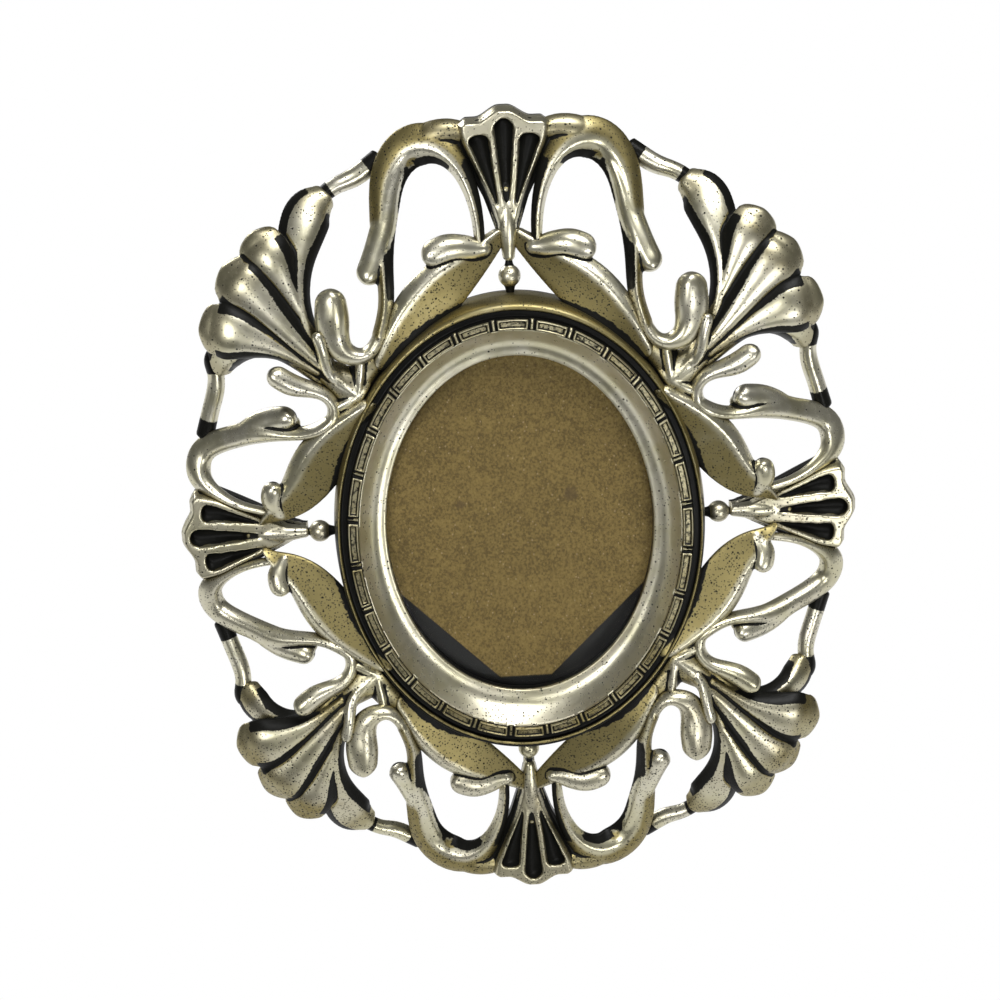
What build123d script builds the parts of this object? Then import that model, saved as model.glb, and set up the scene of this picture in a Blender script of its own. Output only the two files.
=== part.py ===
from build123d import *
from math import cos, pi, sin
import os

os.makedirs("parts", exist_ok=True)

# An oval picture frame with an openwork border, built round the hole of its hanger.
# +X is to the right, +Z is up, the front looks along -Y and the wall is the plane Y = 0.
# Heights are measured forward from the wall.

# Driving sizes, in millimetres
frame_depth = 30.0
sight_width = 89.8
sight_height = 118.8
moulding_width = 17.4
moulding_end_width = 19.9
border_width = 52.0
border_height = 59.8

# Heights forward of the wall, as shares of the depth
sight_edge_share = 0.65
cove_top_share = 0.887
rim_top_share = 0.867
rim_foot_share = 0.587
web_low_share = 0.517
web_high_share = 0.65
fan_back_share = 0.217
fan_web_share = 0.367
fan_front_share = 0.507
stem_level_share = 0.42

# Oval moulding
sight_lip = 4.0
cove_share = 0.506
cove_end_share = 0.523
cove_hollow = 1.6
bar_band = 3.8
bar_rise = 1.4
bar_count = 28
bar_gap = 2.4
bar_gap_depth = 1.1
groove_width = 2.4
groove_depth = 2.4
rim_slope = 1.6

# What lies in the rebate
rebate_overlap = 4.0
rebate_clearance = 0.5
glass_thickness = 2.0
card_thickness = 1.6
panel_thickness = 3.2
layer_gap = 0.05
card_corner_share = 0.286
card_bottom_share = 0.2
card_bottom_height_share = 0.951

# Turn buttons and their screws
button_length = 15.0
button_width = 5.0
button_thickness = 1.0
button_tail = 3.2
button_gap = 0.2
button_turn_share = 0.5
screw_radius = 1.0
screw_head_radius = 1.9
screw_head_height = 0.9
screw_length = 8.0
thread_clearance = 0.05
running_clearance = 0.06

# Hanger
hang_hole_radius = 2.2
hanger_width = 20.0
hanger_thickness = 1.5
hanger_foot = 4.0
hanger_tongue = 8.0
hanger_screw_spacing = 13.0
hanger_hole_rise = 4.5
hanger_setback = 3.4

# Openwork members: the full width of the stock that each is drawn from, as a share of the border's
# mean width, and its full depth, as a share of the frame's depth
scroll_width_share = 0.186
scroll_depth_share = 0.22
side_scroll_width_share = 0.168
leaf_width_share = 0.322
leaf_depth_share = 0.235
side_leaf_width_share = 0.304
ear_width_share = 0.268
ear_depth_share = 0.215
link_width_share = 0.107
link_depth_share = 0.167
lobe_width_share = 0.2325
lobe_depth_share = 0.235
root_depth_share = 0.287
finger_tip_share = 0.084
drop_tip_share = 0.069
side_finger_tip_share = 0.068
hook_tip_share = 0.072
ear_tip_share = 0.075
side_ear_tip_share = 0.064
stub_share = 0.061
stub_tip_share = 0.0375

# Fans at the top, bottom and sides
fan_length_share = 0.82
fan_width_share = 0.1295
side_fan_width_share = 0.1114
fan_flange = 3.6
flute_depth_share = 0.167
stem_width_share = 0.132
stem_depth_share = 0.267
bead_radius_share = 0.36
bead_place_share = 0.55
neck_radius = 2.0
neck_seat = 0.5
cut_overrun = 1.0

ring_half_width = sight_width / 2 + moulding_width
ring_half_height = sight_height / 2 + moulding_end_width
half_width = ring_half_width + border_width
half_height = ring_half_height + border_height
sight_half_width = sight_width / 2
sight_half_height = sight_height / 2
rebate_half_width = sight_half_width + rebate_overlap
rebate_half_height = sight_half_height + rebate_overlap

sight_edge_height = sight_edge_share * frame_depth
cove_top_height = cove_top_share * frame_depth
rim_height = rim_top_share * frame_depth
rim_foot_height = rim_foot_share * frame_depth
fan_back_height = fan_back_share * frame_depth
fan_web_height = fan_web_share * frame_depth
fan_front_height = fan_front_share * frame_depth
stem_height = stem_level_share * frame_depth
glass_front_height = sight_edge_height - sight_lip
card_front_height = glass_front_height - glass_thickness - layer_gap
panel_front_height = card_front_height - card_thickness - layer_gap
band_height = panel_front_height - panel_thickness
band_middle_width = (ring_half_width + rebate_half_width) / 2
band_middle_height = (ring_half_height + rebate_half_height) / 2

border_mean = (border_width + border_height) / 2
scroll_width = scroll_width_share * border_mean
side_scroll_width = side_scroll_width_share * border_mean
scroll_depth = scroll_depth_share * frame_depth
leaf_width = leaf_width_share * border_mean
side_leaf_width = side_leaf_width_share * border_mean
leaf_depth = leaf_depth_share * frame_depth
ear_width = ear_width_share * border_mean
ear_depth = ear_depth_share * frame_depth
ear_tip_radius = ear_tip_share * border_mean
side_ear_tip_radius = side_ear_tip_share * border_mean
link_width = link_width_share * border_mean
link_depth = link_depth_share * frame_depth
lobe_width = lobe_width_share * border_mean
lobe_depth = lobe_depth_share * frame_depth

# The hanger's hole is the origin, so the centre of the oval lies below it
hanger_top = ring_half_height - hanger_setback
hang_reach = hanger_top - hanger_tongue + hanger_hole_rise
oval_level = -hang_reach


def wall_plane(height):
    """A plane square to the view, its origin on the oval's axis, drawn from the front."""
    return Plane(origin=(0, -height, oval_level), x_dir=(1, 0, 0), z_dir=(0, -1, 0))


def place(turn_share, reach_share, height_share):
    """A point by its quarter turn from the side, its way from ring to outline, and its height."""
    turn = turn_share * pi / 2
    across = ring_half_width + reach_share * border_width
    upward = ring_half_height + reach_share * border_height
    return Vector(cos(turn) * across, -height_share * frame_depth, oval_level + sin(turn) * upward)


def flat_place(turn_share, reach_share):
    """The same, in the axes of a plane square to the view."""
    point = place(turn_share, reach_share, 0)
    return (point.X, point.Z - oval_level)


def limb(stations, width_size, depth_size, blob_radius=0):
    """A bar of oval section through its stations, with a round end if a radius is given."""
    points = [place(*station[:3]) for station in stations]
    last = len(points) - 1
    with BuildPart() as bar:
        for index, station in enumerate(stations):
            run = points[min(index + 1, last)] - points[max(index - 1, 0)]
            across = Vector(run.X, 0, run.Z).cross(Vector(0, -1, 0))
            with BuildSketch(Plane(origin=points[index], x_dir=across, z_dir=run)):
                Ellipse(width_size * station[3] / 2, depth_size * station[4] / 2)
        loft()
        if blob_radius:
            with Locations(points[last]):
                Sphere(blob_radius)
    return bar.part


def oval_stack(levels):
    """A solid through ovals that each have a half width, a half height and a height."""
    with BuildPart() as stack:
        for half_across, half_upward, height in levels:
            with BuildSketch(wall_plane(height)):
                Ellipse(half_across, half_upward)
        loft(ruled=True)
    return stack.part


def oval_place(half_across, half_upward, turn_share, height):
    """A location on an oval, its X axis pointing outward, square to the oval."""
    turn = turn_share * pi / 2
    outward = Vector(cos(turn) * half_upward, 0, sin(turn) * half_across)
    point = Vector(cos(turn) * half_across, -height, oval_level + sin(turn) * half_upward)
    return Location(Plane(origin=point, x_dir=outward, z_dir=(0, -1, 0)))


def mirrored(piece, to_left, to_bottom):
    """The piece of the upper right quarter, turned into that of another quarter."""
    if to_left:
        piece = mirror(piece, about=Plane.YZ)
    if to_bottom:
        piece = mirror(piece, about=Plane.XY.offset(oval_level))
    return piece


def save(piece, name):
    piece.label = name
    export_step(piece, f"parts/{name}.step")


# Oval moulding: a lip at the sight, a hollow cove, a row of bars, a groove and a sloping rim
bar_half_width = sight_half_width + cove_share * moulding_width
bar_half_height = sight_half_height + cove_end_share * moulding_end_width
groove_half_width = bar_half_width + bar_band
groove_half_height = bar_half_height + bar_band
rim_half_width = ring_half_width - rim_slope
rim_half_height = ring_half_height - rim_slope
bar_top_height = cove_top_height + bar_rise
gap_floor = bar_top_height - bar_gap_depth

ring_body = oval_stack([
    (ring_half_width, ring_half_height, band_height),
    (ring_half_width, ring_half_height, rim_foot_height),
    (rim_half_width, rim_half_height, rim_height),
    (groove_half_width + groove_width / 2, groove_half_height + groove_width / 2, bar_top_height),
])
cove_middle_height = (sight_edge_height + cove_top_height) / 2 - cove_hollow
cove_cut = oval_stack([
    (sight_half_width, sight_half_height, sight_edge_height),
    ((sight_half_width + bar_half_width) / 2, (sight_half_height + bar_half_height) / 2, cove_middle_height),
    (bar_half_width, bar_half_height, cove_top_height),
    (bar_half_width, bar_half_height, bar_top_height + cut_overrun),
])
with BuildPart() as groove_cut:
    with BuildSketch(wall_plane(cove_top_height - groove_depth)):
        Ellipse(groove_half_width + groove_width, groove_half_height + groove_width)
        Ellipse(groove_half_width, groove_half_height, mode=Mode.SUBTRACT)
    extrude(amount=groove_depth + bar_rise + cut_overrun)


def button_places(height):
    """The four screw places on the band, each with its X axis pointing outward."""
    return [
        oval_place(band_middle_width, band_middle_height, quarter + button_turn_share, height)
        for quarter in range(4)
    ]


with BuildPart() as oval_ring:
    add(ring_body)
    add(groove_cut.part, mode=Mode.SUBTRACT)
    add(cove_cut, mode=Mode.SUBTRACT)
    with BuildSketch(wall_plane(glass_front_height)):
        Ellipse(sight_half_width, sight_half_height)
    extrude(amount=sight_lip + cut_overrun, mode=Mode.SUBTRACT)
    with BuildSketch(wall_plane(glass_front_height)):
        Ellipse(rebate_half_width, rebate_half_height)
    extrude(amount=-(glass_front_height - band_height + cut_overrun), mode=Mode.SUBTRACT)
    for bar in range(bar_count):
        gap_turn = (bar + 0.5) * 4 / bar_count
        middle = oval_place(
            bar_half_width + bar_band / 2, bar_half_height + bar_band / 2, gap_turn, gap_floor
        )
        with Locations(middle):
            Box(
                bar_band + cut_overrun,
                bar_gap,
                bar_gap_depth + cut_overrun,
                align=(Align.CENTER, Align.CENTER, Align.MIN),
                mode=Mode.SUBTRACT,
            )
    with Locations(*button_places(band_height)):
        Cylinder(
            screw_radius + thread_clearance,
            screw_length,
            align=(Align.CENTER, Align.CENTER, Align.MIN),
            mode=Mode.SUBTRACT,
        )
    hanger_screw_level = hanger_top - hanger_tongue - hanger_foot / 2
    with BuildSketch(wall_plane(band_height)):
        with Locations((0, hanger_screw_level)):
            with GridLocations(hanger_screw_spacing, 0, 2, 1):
                Circle(screw_radius + thread_clearance)
    extrude(amount=screw_length, mode=Mode.SUBTRACT)

# Members of the upper right quarter. Each station gives the quarter turn, the way from ring to
# outline, the height, and the shares of the stock's width and depth.
scroll_shares = (
    (0.925, 0.31, 0.50, 0.35, 0.6),
    (0.927, 0.44, 0.47, 0.40, 0.7),
    (0.917, 0.62, 0.40, 0.54, 0.8),
    (0.891, 0.78, 0.35, 0.88, 0.9),
    (0.855, 0.865, 0.30, 1.26, 1.0),
    (0.813, 0.875, 0.25, 1.30, 1.0),
    (0.768, 0.80, 0.28, 1.12, 1.0),
    (0.733, 0.66, 0.37, 0.92, 1.0),
    (0.702, 0.52, 0.48, 0.72, 1.0),
    (0.672, 0.37, 0.60, 0.55, 1.0),
    (0.634, 0.23, 0.70, 0.50, 1.0),
    (0.580, 0.14, 0.77, 0.52, 1.0),
)
finger_shares = (
    (0.615, 0.19, 0.73, 0.36, 0.7),
    (0.576, 0.14, 0.77, 0.44, 0.8),
    (0.511, 0.14, 0.80, 0.50, 0.9),
    (0.483, 0.24, 0.82, 0.72, 0.9),
    (0.495, 0.35, 0.83, 0.92, 1.0),
    (0.519, 0.42, 0.84, 1.00, 1.0),
    (0.538, 0.475, 0.84, 0.92, 1.0),
)
drop_shares = (
    (0.716, 0.58, 0.42, 0.70, 0.9),
    (0.686, 0.505, 0.52, 0.74, 0.9),
    (0.656, 0.45, 0.58, 0.78, 0.9),
    (0.642, 0.43, 0.61, 0.76, 0.9),
)
side_scroll_shares = (
    (0.052, 0.40, 0.53, 0.32, 0.6),
    (0.058, 0.57, 0.48, 0.32, 0.7),
    (0.072, 0.74, 0.40, 0.50, 0.8),
    (0.100, 0.88, 0.30, 0.86, 1.0),
    (0.134, 0.88, 0.25, 0.90, 1.0),
    (0.162, 0.79, 0.30, 0.90, 1.0),
    (0.191, 0.65, 0.42, 0.88, 1.0),
    (0.217, 0.53, 0.53, 0.92, 1.0),
    (0.234, 0.38, 0.61, 0.60, 1.0),
    (0.258, 0.24, 0.67, 0.50, 1.0),
    (0.300, 0.14, 0.72, 0.52, 1.0),
    (0.330, 0.11, 0.73, 0.40, 0.8),
)
side_finger_shares = (
    (0.270, 0.20, 0.67, 0.40, 0.7),
    (0.303, 0.13, 0.72, 0.46, 0.8),
    (0.345, 0.13, 0.73, 0.50, 0.9),
    (0.366, 0.21, 0.77, 0.50, 0.9),
    (0.358, 0.34, 0.82, 0.64, 0.9),
    (0.350, 0.44, 0.86, 0.74, 0.9),
    (0.350, 0.52, 0.87, 0.76, 0.9),
)
hook_shares = (
    (0.219, 0.56, 0.49, 0.90, 0.9),
    (0.248, 0.46, 0.56, 0.95, 1.0),
    (0.264, 0.40, 0.61, 0.88, 1.0),
)
leaf_shares = (
    (0.971, 0.30, 0.43, 0.34, 0.6),
    (0.894, 0.205, 0.52, 0.66, 0.85),
    (0.812, 0.148, 0.60, 0.92, 1.0),
    (0.722, 0.096, 0.67, 0.96, 1.0),
    (0.640, 0.054, 0.71, 0.80, 1.0),
    (0.545, 0.0, 0.72, 0.58, 0.9),
)
ear_shares = (
    (0.901, 0.272, 0.52, 0.52, 0.9),
    (0.868, 0.298, 0.56, 0.60, 1.0),
    (0.835, 0.318, 0.59, 0.62, 1.0),
    (0.808, 0.32, 0.60, 0.60, 1.0),
)
side_leaf_shares = (
    (0.040, 0.43, 0.54, 0.24, 0.6),
    (0.064, 0.34, 0.57, 0.54, 0.8),
    (0.112, 0.22, 0.60, 0.86, 1.0),
    (0.188, 0.13, 0.66, 1.05, 1.0),
    (0.285, 0.03, 0.71, 1.00, 1.0),
    (0.383, -0.06, 0.73, 0.80, 1.0),
)
side_ear_shares = (
    (0.066, 0.37, 0.57, 0.30, 0.8),
    (0.085, 0.41, 0.61, 0.36, 0.8),
    (0.110, 0.41, 0.64, 0.36, 0.8),
)
link_shares = (
    (0.638, 0.91, 0.25, 0.90, 1.0),
    (0.670, 0.90, 0.23, 0.90, 1.0),
    (0.697, 0.88, 0.20, 1.00, 1.0),
    (0.727, 0.88, 0.17, 1.10, 1.0),
    (0.769, 0.92, 0.13, 1.10, 1.0),
)
side_link_shares = (
    (0.299, 0.93, 0.32, 0.95, 1.0),
    (0.278, 0.89, 0.30, 0.95, 1.0),
    (0.251, 0.86, 0.28, 1.00, 1.0),
    (0.216, 0.86, 0.25, 1.00, 1.0),
    (0.166, 0.87, 0.22, 1.05, 1.0),
)
lobe_shares = (
    (
        (0.412, 0.24, 0.67, 0.42, 0.80),
        (0.444, 0.43, 0.68, 0.48, 0.90),
        (0.485, 0.62, 0.65, 0.58, 1.00),
        (0.534, 0.77, 0.55, 0.90, 1.05),
        (0.578, 0.86, 0.42, 1.20, 1.10),
        (0.613, 0.90, 0.32, 1.10, 1.00),
        (0.640, 0.90, 0.27, 0.75, 0.85),
    ),
    (
        (0.448, 0.40, 0.66, 0.28, 0.70),
        (0.480, 0.64, 0.68, 0.54, 0.90),
        (0.500, 0.83, 0.67, 0.84, 1.10),
        (0.508, 0.95, 0.65, 0.96, 1.10),
        (0.511, 1.03, 0.63, 0.82, 0.90),
        (0.512, 1.07, 0.62, 0.50, 0.60),
    ),
    (
        (0.410, 0.17, 0.70, 0.42, 0.90),
        (0.426, 0.43, 0.75, 0.56, 1.00),
        (0.437, 0.70, 0.74, 0.82, 1.10),
        (0.442, 0.90, 0.73, 1.12, 1.15),
        (0.443, 1.02, 0.71, 1.08, 1.00),
        (0.443, 1.08, 0.69, 0.70, 0.70),
    ),
    (
        (0.404, 0.38, 0.72, 0.38, 0.80),
        (0.394, 0.63, 0.75, 0.74, 1.00),
        (0.380, 0.80, 0.77, 1.06, 1.10),
        (0.367, 0.92, 0.77, 1.20, 1.12),
        (0.357, 1.01, 0.75, 1.02, 0.95),
        (0.352, 1.06, 0.74, 0.64, 0.70),
    ),
    (
        (0.387, 0.27, 0.67, 0.35, 0.80),
        (0.388, 0.44, 0.68, 0.38, 0.85),
        (0.378, 0.63, 0.65, 0.46, 0.90),
        (0.349, 0.78, 0.55, 0.72, 1.00),
        (0.318, 0.86, 0.42, 0.87, 1.00),
        (0.291, 0.88, 0.33, 0.74, 0.80),
    ),
)
root_shares = (
    (0.418, -0.11, 0.67, 1.50, 1.0),
    (0.413, 0.08, 0.69, 1.25, 1.0),
    (0.408, 0.24, 0.70, 0.90, 0.9),
    (0.408, 0.37, 0.70, 0.55, 0.7),
)
stub_shares = (
    (0.419, 0.26, 0.80, 1.00, 1.0),
    (0.449, 0.35, 0.87, 1.00, 1.0),
    (0.468, 0.42, 0.88, 1.00, 1.0),
)
web_shares = (
    (0.411, 0.34),
    (0.546, 0.91),
    (0.541, 0.99),
    (0.480, 1.02),
    (0.463, 1.04),
    (0.405, 1.01),
    (0.387, 1.02),
    (0.336, 0.96),
    (0.376, 0.65),
)

# Fan outlines: shares of the fan's half width and of its length from root to tip
fan_side_shares = ((0.16, 0.0), (0.25, 0.20), (0.41, 0.41), (0.68, 0.61), (0.94, 0.82), (1.0, 0.88))
side_fan_side_shares = ((0.15, 0.0), (0.27, 0.16), (0.46, 0.33), (0.68, 0.52), (0.93, 0.73), (1.0, 0.84))
scallop_shares = ((0.72, 0.918), (0.36, 0.959))
# Flutes: way along the fan, offset to the side, width and depth, for the middle and the outer ones
middle_flute_shares = (
    (0.26, 0.0, 0.04, 0.45),
    (0.48, 0.0, 0.12, 0.70),
    (0.70, 0.0, 0.20, 1.00),
    (0.88, 0.0, 0.22, 1.00),
)
outer_flute_shares = (
    (0.40, 0.20, 0.03, 0.30),
    (0.61, 0.39, 0.10, 0.60),
    (0.76, 0.54, 0.18, 1.00),
    (0.85, 0.61, 0.22, 1.00),
)
stem_shares = ((0.0, 0.65), (0.20, 0.85), (0.45, 0.70))


def fan_plane(sideways, height):
    """A plane square to the view, its Y axis running outward along a fan."""
    across = (0, 0, -1) if sideways else (1, 0, 0)
    return Plane(origin=(0, -height, oval_level), x_dir=across, z_dir=(0, -1, 0))


def fan_outline(side_shares, length, width, tip, widen, scalloped):
    """A fan's outline about its own axis, with a scalloped or a straight end."""
    root = tip - length
    sides = [(across * width / 2 + widen * along, root + along * length) for across, along in side_shares]
    scallop = [(across * width / 2, root + along * length) for across, along in scallop_shares]
    with BuildSketch(Plane.XY) as outline:
        with BuildLine():
            Line((0, root), sides[0])
            Spline(*sides)
            if scalloped:
                Spline(sides[-1], *scallop, (0, tip))
                Line((0, tip), (0, root))
            else:
                Line(sides[-1], (0, sides[-1][1]))
                Line((0, sides[-1][1]), (0, root))
        make_face()
        mirror(about=Plane.YZ)
    return outline.sketch


def fan_flute(shares, sideways, length, width, tip, side):
    """The solid that a flute of the fan is scooped with."""
    base = fan_plane(sideways, fan_front_height)
    with BuildPart() as flute:
        for along, offset, wide, deep in shares:
            middle = base.from_local_coords((side * offset * width / 2, tip - length + along * length, 0))
            with BuildSketch(Plane(origin=middle, x_dir=base.x_dir, z_dir=base.y_dir)):
                Ellipse(wide * width / 2, deep * flute_depth_share * frame_depth)
        loft()
    return flute.part


def make_fan(sideways, side_shares, length, width, tip):
    """A fan: a low web, a raised scalloped face with three flutes, and a round stem."""
    root = tip - length
    web = fan_outline(side_shares, length, width, tip, fan_flange, False)
    face = fan_outline(side_shares, length, width, tip, 0, True)
    flutes = [fan_flute(middle_flute_shares, sideways, length, width, tip, 1)]
    flutes += [fan_flute(outer_flute_shares, sideways, length, width, tip, side) for side in (-1, 1)]
    base = fan_plane(sideways, stem_height)
    with BuildPart() as fan:
        with BuildSketch(fan_plane(sideways, fan_back_height)):
            add(web)
        extrude(amount=fan_web_height - fan_back_height)
        with BuildSketch(fan_plane(sideways, fan_back_height)):
            add(face)
        extrude(amount=fan_front_height - fan_back_height)
        for along, thick in stem_shares:
            middle = base.from_local_coords((0, root + along * length, 0))
            with BuildSketch(Plane(origin=middle, x_dir=base.x_dir, z_dir=base.y_dir)):
                Ellipse(
                    thick * stem_width_share * border_mean / 2, thick * stem_depth_share * frame_depth / 2
                )
        loft()
        for flute in flutes:
            add(flute, mode=Mode.SUBTRACT)
    return fan.part


def make_bead(sideways, ring_edge, fan_root):
    """A bead between the ring and a fan's stem, on a thin neck, turned about the fan's axis."""
    base = fan_plane(sideways, stem_height)
    reach = fan_root - ring_edge
    bead_radius = reach * bead_radius_share
    with BuildPart() as bead:
        with BuildSketch(base):
            with Locations((0, ring_edge - neck_seat)):
                Rectangle(neck_radius, reach + neck_seat, align=(Align.MIN, Align.MIN))
            with Locations((0, ring_edge + reach * bead_place_share)):
                Circle(bead_radius)
                Rectangle(bead_radius, bead_radius * 2, align=(Align.MAX, Align.CENTER), mode=Mode.SUBTRACT)
        revolve(axis=Axis(base.origin, base.y_dir))
        add(ring_body, mode=Mode.SUBTRACT)
    return bead.part


fan_length = border_height * fan_length_share
side_fan_length = border_width * fan_length_share
top_fan = make_fan(False, fan_side_shares, fan_length, half_width * 2 * fan_width_share, half_height)
right_fan = make_fan(
    True, side_fan_side_shares, side_fan_length, half_height * 2 * side_fan_width_share, half_width
)
top_bead = make_bead(False, ring_half_height, half_height - fan_length)
right_bead = make_bead(True, ring_half_width, half_width - side_fan_length)

with BuildPart() as shell:
    for shares in lobe_shares:
        add(limb(shares, lobe_width, lobe_depth))
    with BuildSketch(wall_plane(web_low_share * frame_depth)):
        with BuildLine():
            Polyline(*[flat_place(*share) for share in web_shares], close=True)
        make_face()
    extrude(amount=(web_high_share - web_low_share) * frame_depth)
    add(limb(root_shares, lobe_width, root_depth_share * frame_depth))
    add(limb(stub_shares, stub_share * border_mean, stub_share * border_mean, stub_tip_share * border_mean))
    add(ring_body, mode=Mode.SUBTRACT)

finger = limb(finger_shares, scroll_width, scroll_depth, finger_tip_share * border_mean)

with BuildPart() as leaf_stock:
    add(limb(leaf_shares, leaf_width, leaf_depth))
    add(limb(ear_shares, ear_width, ear_depth, ear_tip_radius))

with BuildPart() as scroll:
    add(limb(scroll_shares, scroll_width, scroll_depth))
    add(leaf_stock.part, mode=Mode.SUBTRACT)
    add(finger)
    add(limb(drop_shares, scroll_width, scroll_depth, drop_tip_share * border_mean))
    for neighbour in (ring_body, top_fan, shell.part):
        add(neighbour, mode=Mode.SUBTRACT)

with BuildPart() as side_scroll:
    add(limb(side_scroll_shares, side_scroll_width, scroll_depth))
    add(limb(side_finger_shares, side_scroll_width, scroll_depth, side_finger_tip_share * border_mean))
    add(limb(hook_shares, side_scroll_width, scroll_depth, hook_tip_share * border_mean))
    for neighbour in (ring_body, right_fan, shell.part):
        add(neighbour, mode=Mode.SUBTRACT)

with BuildPart() as leaf:
    add(leaf_stock.part)
    for neighbour in (ring_body, top_fan, shell.part, finger):
        add(neighbour, mode=Mode.SUBTRACT)

with BuildPart() as side_leaf:
    add(limb(side_leaf_shares, side_leaf_width, leaf_depth))
    add(limb(side_ear_shares, ear_width, ear_depth, side_ear_tip_radius))
    for neighbour in (ring_body, right_fan, shell.part, side_scroll.part):
        add(neighbour, mode=Mode.SUBTRACT)

with BuildPart() as link:
    add(limb(link_shares, link_width, link_depth))
    for neighbour in (shell.part, scroll.part):
        add(neighbour, mode=Mode.SUBTRACT)

with BuildPart() as side_link:
    add(limb(side_link_shares, link_width, link_depth))
    for neighbour in (shell.part, side_scroll.part):
        add(neighbour, mode=Mode.SUBTRACT)

# What the rebate holds: the pane, the brown card with its lower corners cut, and the rear panel
pane_half_width = rebate_half_width - rebate_clearance
pane_half_height = rebate_half_height - rebate_clearance
card_corner_height = card_corner_share * sight_half_height
card_bottom_height = card_bottom_height_share * sight_half_height
card_bottom_half_width = card_bottom_share * sight_half_width
glass_back_height = glass_front_height - glass_thickness
card_back_height = card_front_height - card_thickness

with BuildPart() as glass_pane:
    with BuildSketch(wall_plane(glass_back_height)):
        Ellipse(pane_half_width, pane_half_height)
    extrude(amount=glass_thickness - layer_gap)

with BuildPart() as picture_card:
    with BuildSketch(wall_plane(card_back_height)):
        Ellipse(pane_half_width, pane_half_height)
        with BuildSketch(mode=Mode.INTERSECT):
            with BuildLine():
                Polyline(
                    (card_bottom_half_width, -card_bottom_height),
                    (pane_half_width, -card_corner_height),
                    (pane_half_width, pane_half_height),
                    (-pane_half_width, pane_half_height),
                    (-pane_half_width, -card_corner_height),
                    (-card_bottom_half_width, -card_bottom_height),
                    close=True,
                )
            make_face()
    extrude(amount=card_thickness)

with BuildPart() as rear_panel:
    with BuildSketch(wall_plane(band_height)):
        Ellipse(pane_half_width, pane_half_height)
    extrude(amount=panel_thickness)

# Turn buttons on the band behind the moulding, their screws, and the hanger
button_back_height = band_height - button_gap - button_thickness
head_top_height = button_back_height - layer_gap

with BuildPart() as button_screws:
    with Locations(*button_places(head_top_height)):
        Cylinder(screw_head_radius, screw_head_height, align=(Align.CENTER, Align.CENTER, Align.MAX))
        Cylinder(
            screw_radius,
            band_height - head_top_height + screw_length - layer_gap,
            align=(Align.CENTER, Align.CENTER, Align.MIN),
        )

hanger_foot_level = hanger_top - hanger_tongue - hanger_foot
hanger_web_level = hanger_top - hanger_tongue
hanger_foot_height = band_height - hanger_thickness

with BuildPart() as hanger:
    with BuildSketch(Plane.YZ.offset(-hanger_width / 2)):
        with BuildLine():
            Polyline(
                (-band_height, oval_level + hanger_foot_level),
                (-band_height, oval_level + hanger_web_level + hanger_thickness),
                (-hanger_thickness, oval_level + hanger_web_level + hanger_thickness),
                (-hanger_thickness, oval_level + hanger_top),
                (0, oval_level + hanger_top),
                (0, oval_level + hanger_web_level),
                (-hanger_foot_height, oval_level + hanger_web_level),
                (-hanger_foot_height, oval_level + hanger_foot_level),
                close=True,
            )
        make_face()
    extrude(amount=hanger_width)
    with BuildSketch(Plane.XZ.offset(-cut_overrun)):
        Circle(hang_hole_radius)
    extrude(amount=hanger_thickness + cut_overrun * 2, mode=Mode.SUBTRACT)
    with BuildSketch(wall_plane(0)):
        with Locations((0, hanger_screw_level)):
            with GridLocations(hanger_screw_spacing, 0, 2, 1):
                Circle(screw_radius + thread_clearance)
    extrude(amount=band_height, mode=Mode.SUBTRACT)

with BuildPart() as hanger_screws:
    for end in (-1, 1):
        middle = Vector(end * hanger_screw_spacing / 2, -(hanger_foot_height - layer_gap), 0)
        level = Vector(0, 0, oval_level + hanger_screw_level)
        with Locations(Location(Plane(origin=middle + level, x_dir=(1, 0, 0), z_dir=(0, -1, 0)))):
            Cylinder(screw_head_radius, screw_head_height, align=(Align.CENTER, Align.CENTER, Align.MAX))
            Cylinder(
                screw_radius,
                hanger_thickness + screw_length - layer_gap,
                align=(Align.CENTER, Align.CENTER, Align.MIN),
            )

# Write the pieces that stand alone
for name, piece in (
    ("oval_ring", oval_ring.part),
    ("glass_pane", glass_pane.part),
    ("picture_card", picture_card.part),
    ("rear_panel", rear_panel.part),
    ("button_screws", button_screws.part),
    ("hanger", hanger.part),
    ("hanger_screws", hanger_screws.part),
    ("fan_top", top_fan),
    ("fan_right", right_fan),
    ("fan_bottom", mirrored(top_fan, False, True)),
    ("fan_left", mirrored(right_fan, True, False)),
    ("bead_top", top_bead),
    ("bead_right", right_bead),
    ("bead_bottom", mirrored(top_bead, False, True)),
    ("bead_left", mirrored(right_bead, True, False)),
):
    save(piece, name)

for number, button_place in enumerate(button_places(button_back_height), start=1):
    with BuildPart() as turn_button:
        with BuildSketch(Plane(button_place)):
            with Locations((button_tail - button_length / 2, 0)):
                SlotOverall(button_length, button_width)
            Circle(screw_radius + running_clearance, mode=Mode.SUBTRACT)
        extrude(amount=button_thickness)
    save(turn_button.part, f"turn_button_{number}")

# Write the four quarters
for quarter, to_left, to_bottom in (
    ("upper_right", False, False),
    ("upper_left", True, False),
    ("lower_right", False, True),
    ("lower_left", True, True),
):
    for name, piece in (
        ("shell", shell.part),
        ("scroll", scroll.part),
        ("side_scroll", side_scroll.part),
        ("leaf", leaf.part),
        ("side_leaf", side_leaf.part),
        ("link", link.part),
        ("side_link", side_link.part),
    ):
        save(mirrored(piece, to_left, to_bottom), f"{name}_{quarter}")
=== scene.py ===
import math
import bpy
import numpy as np
from mathutils import Matrix, Vector


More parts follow.
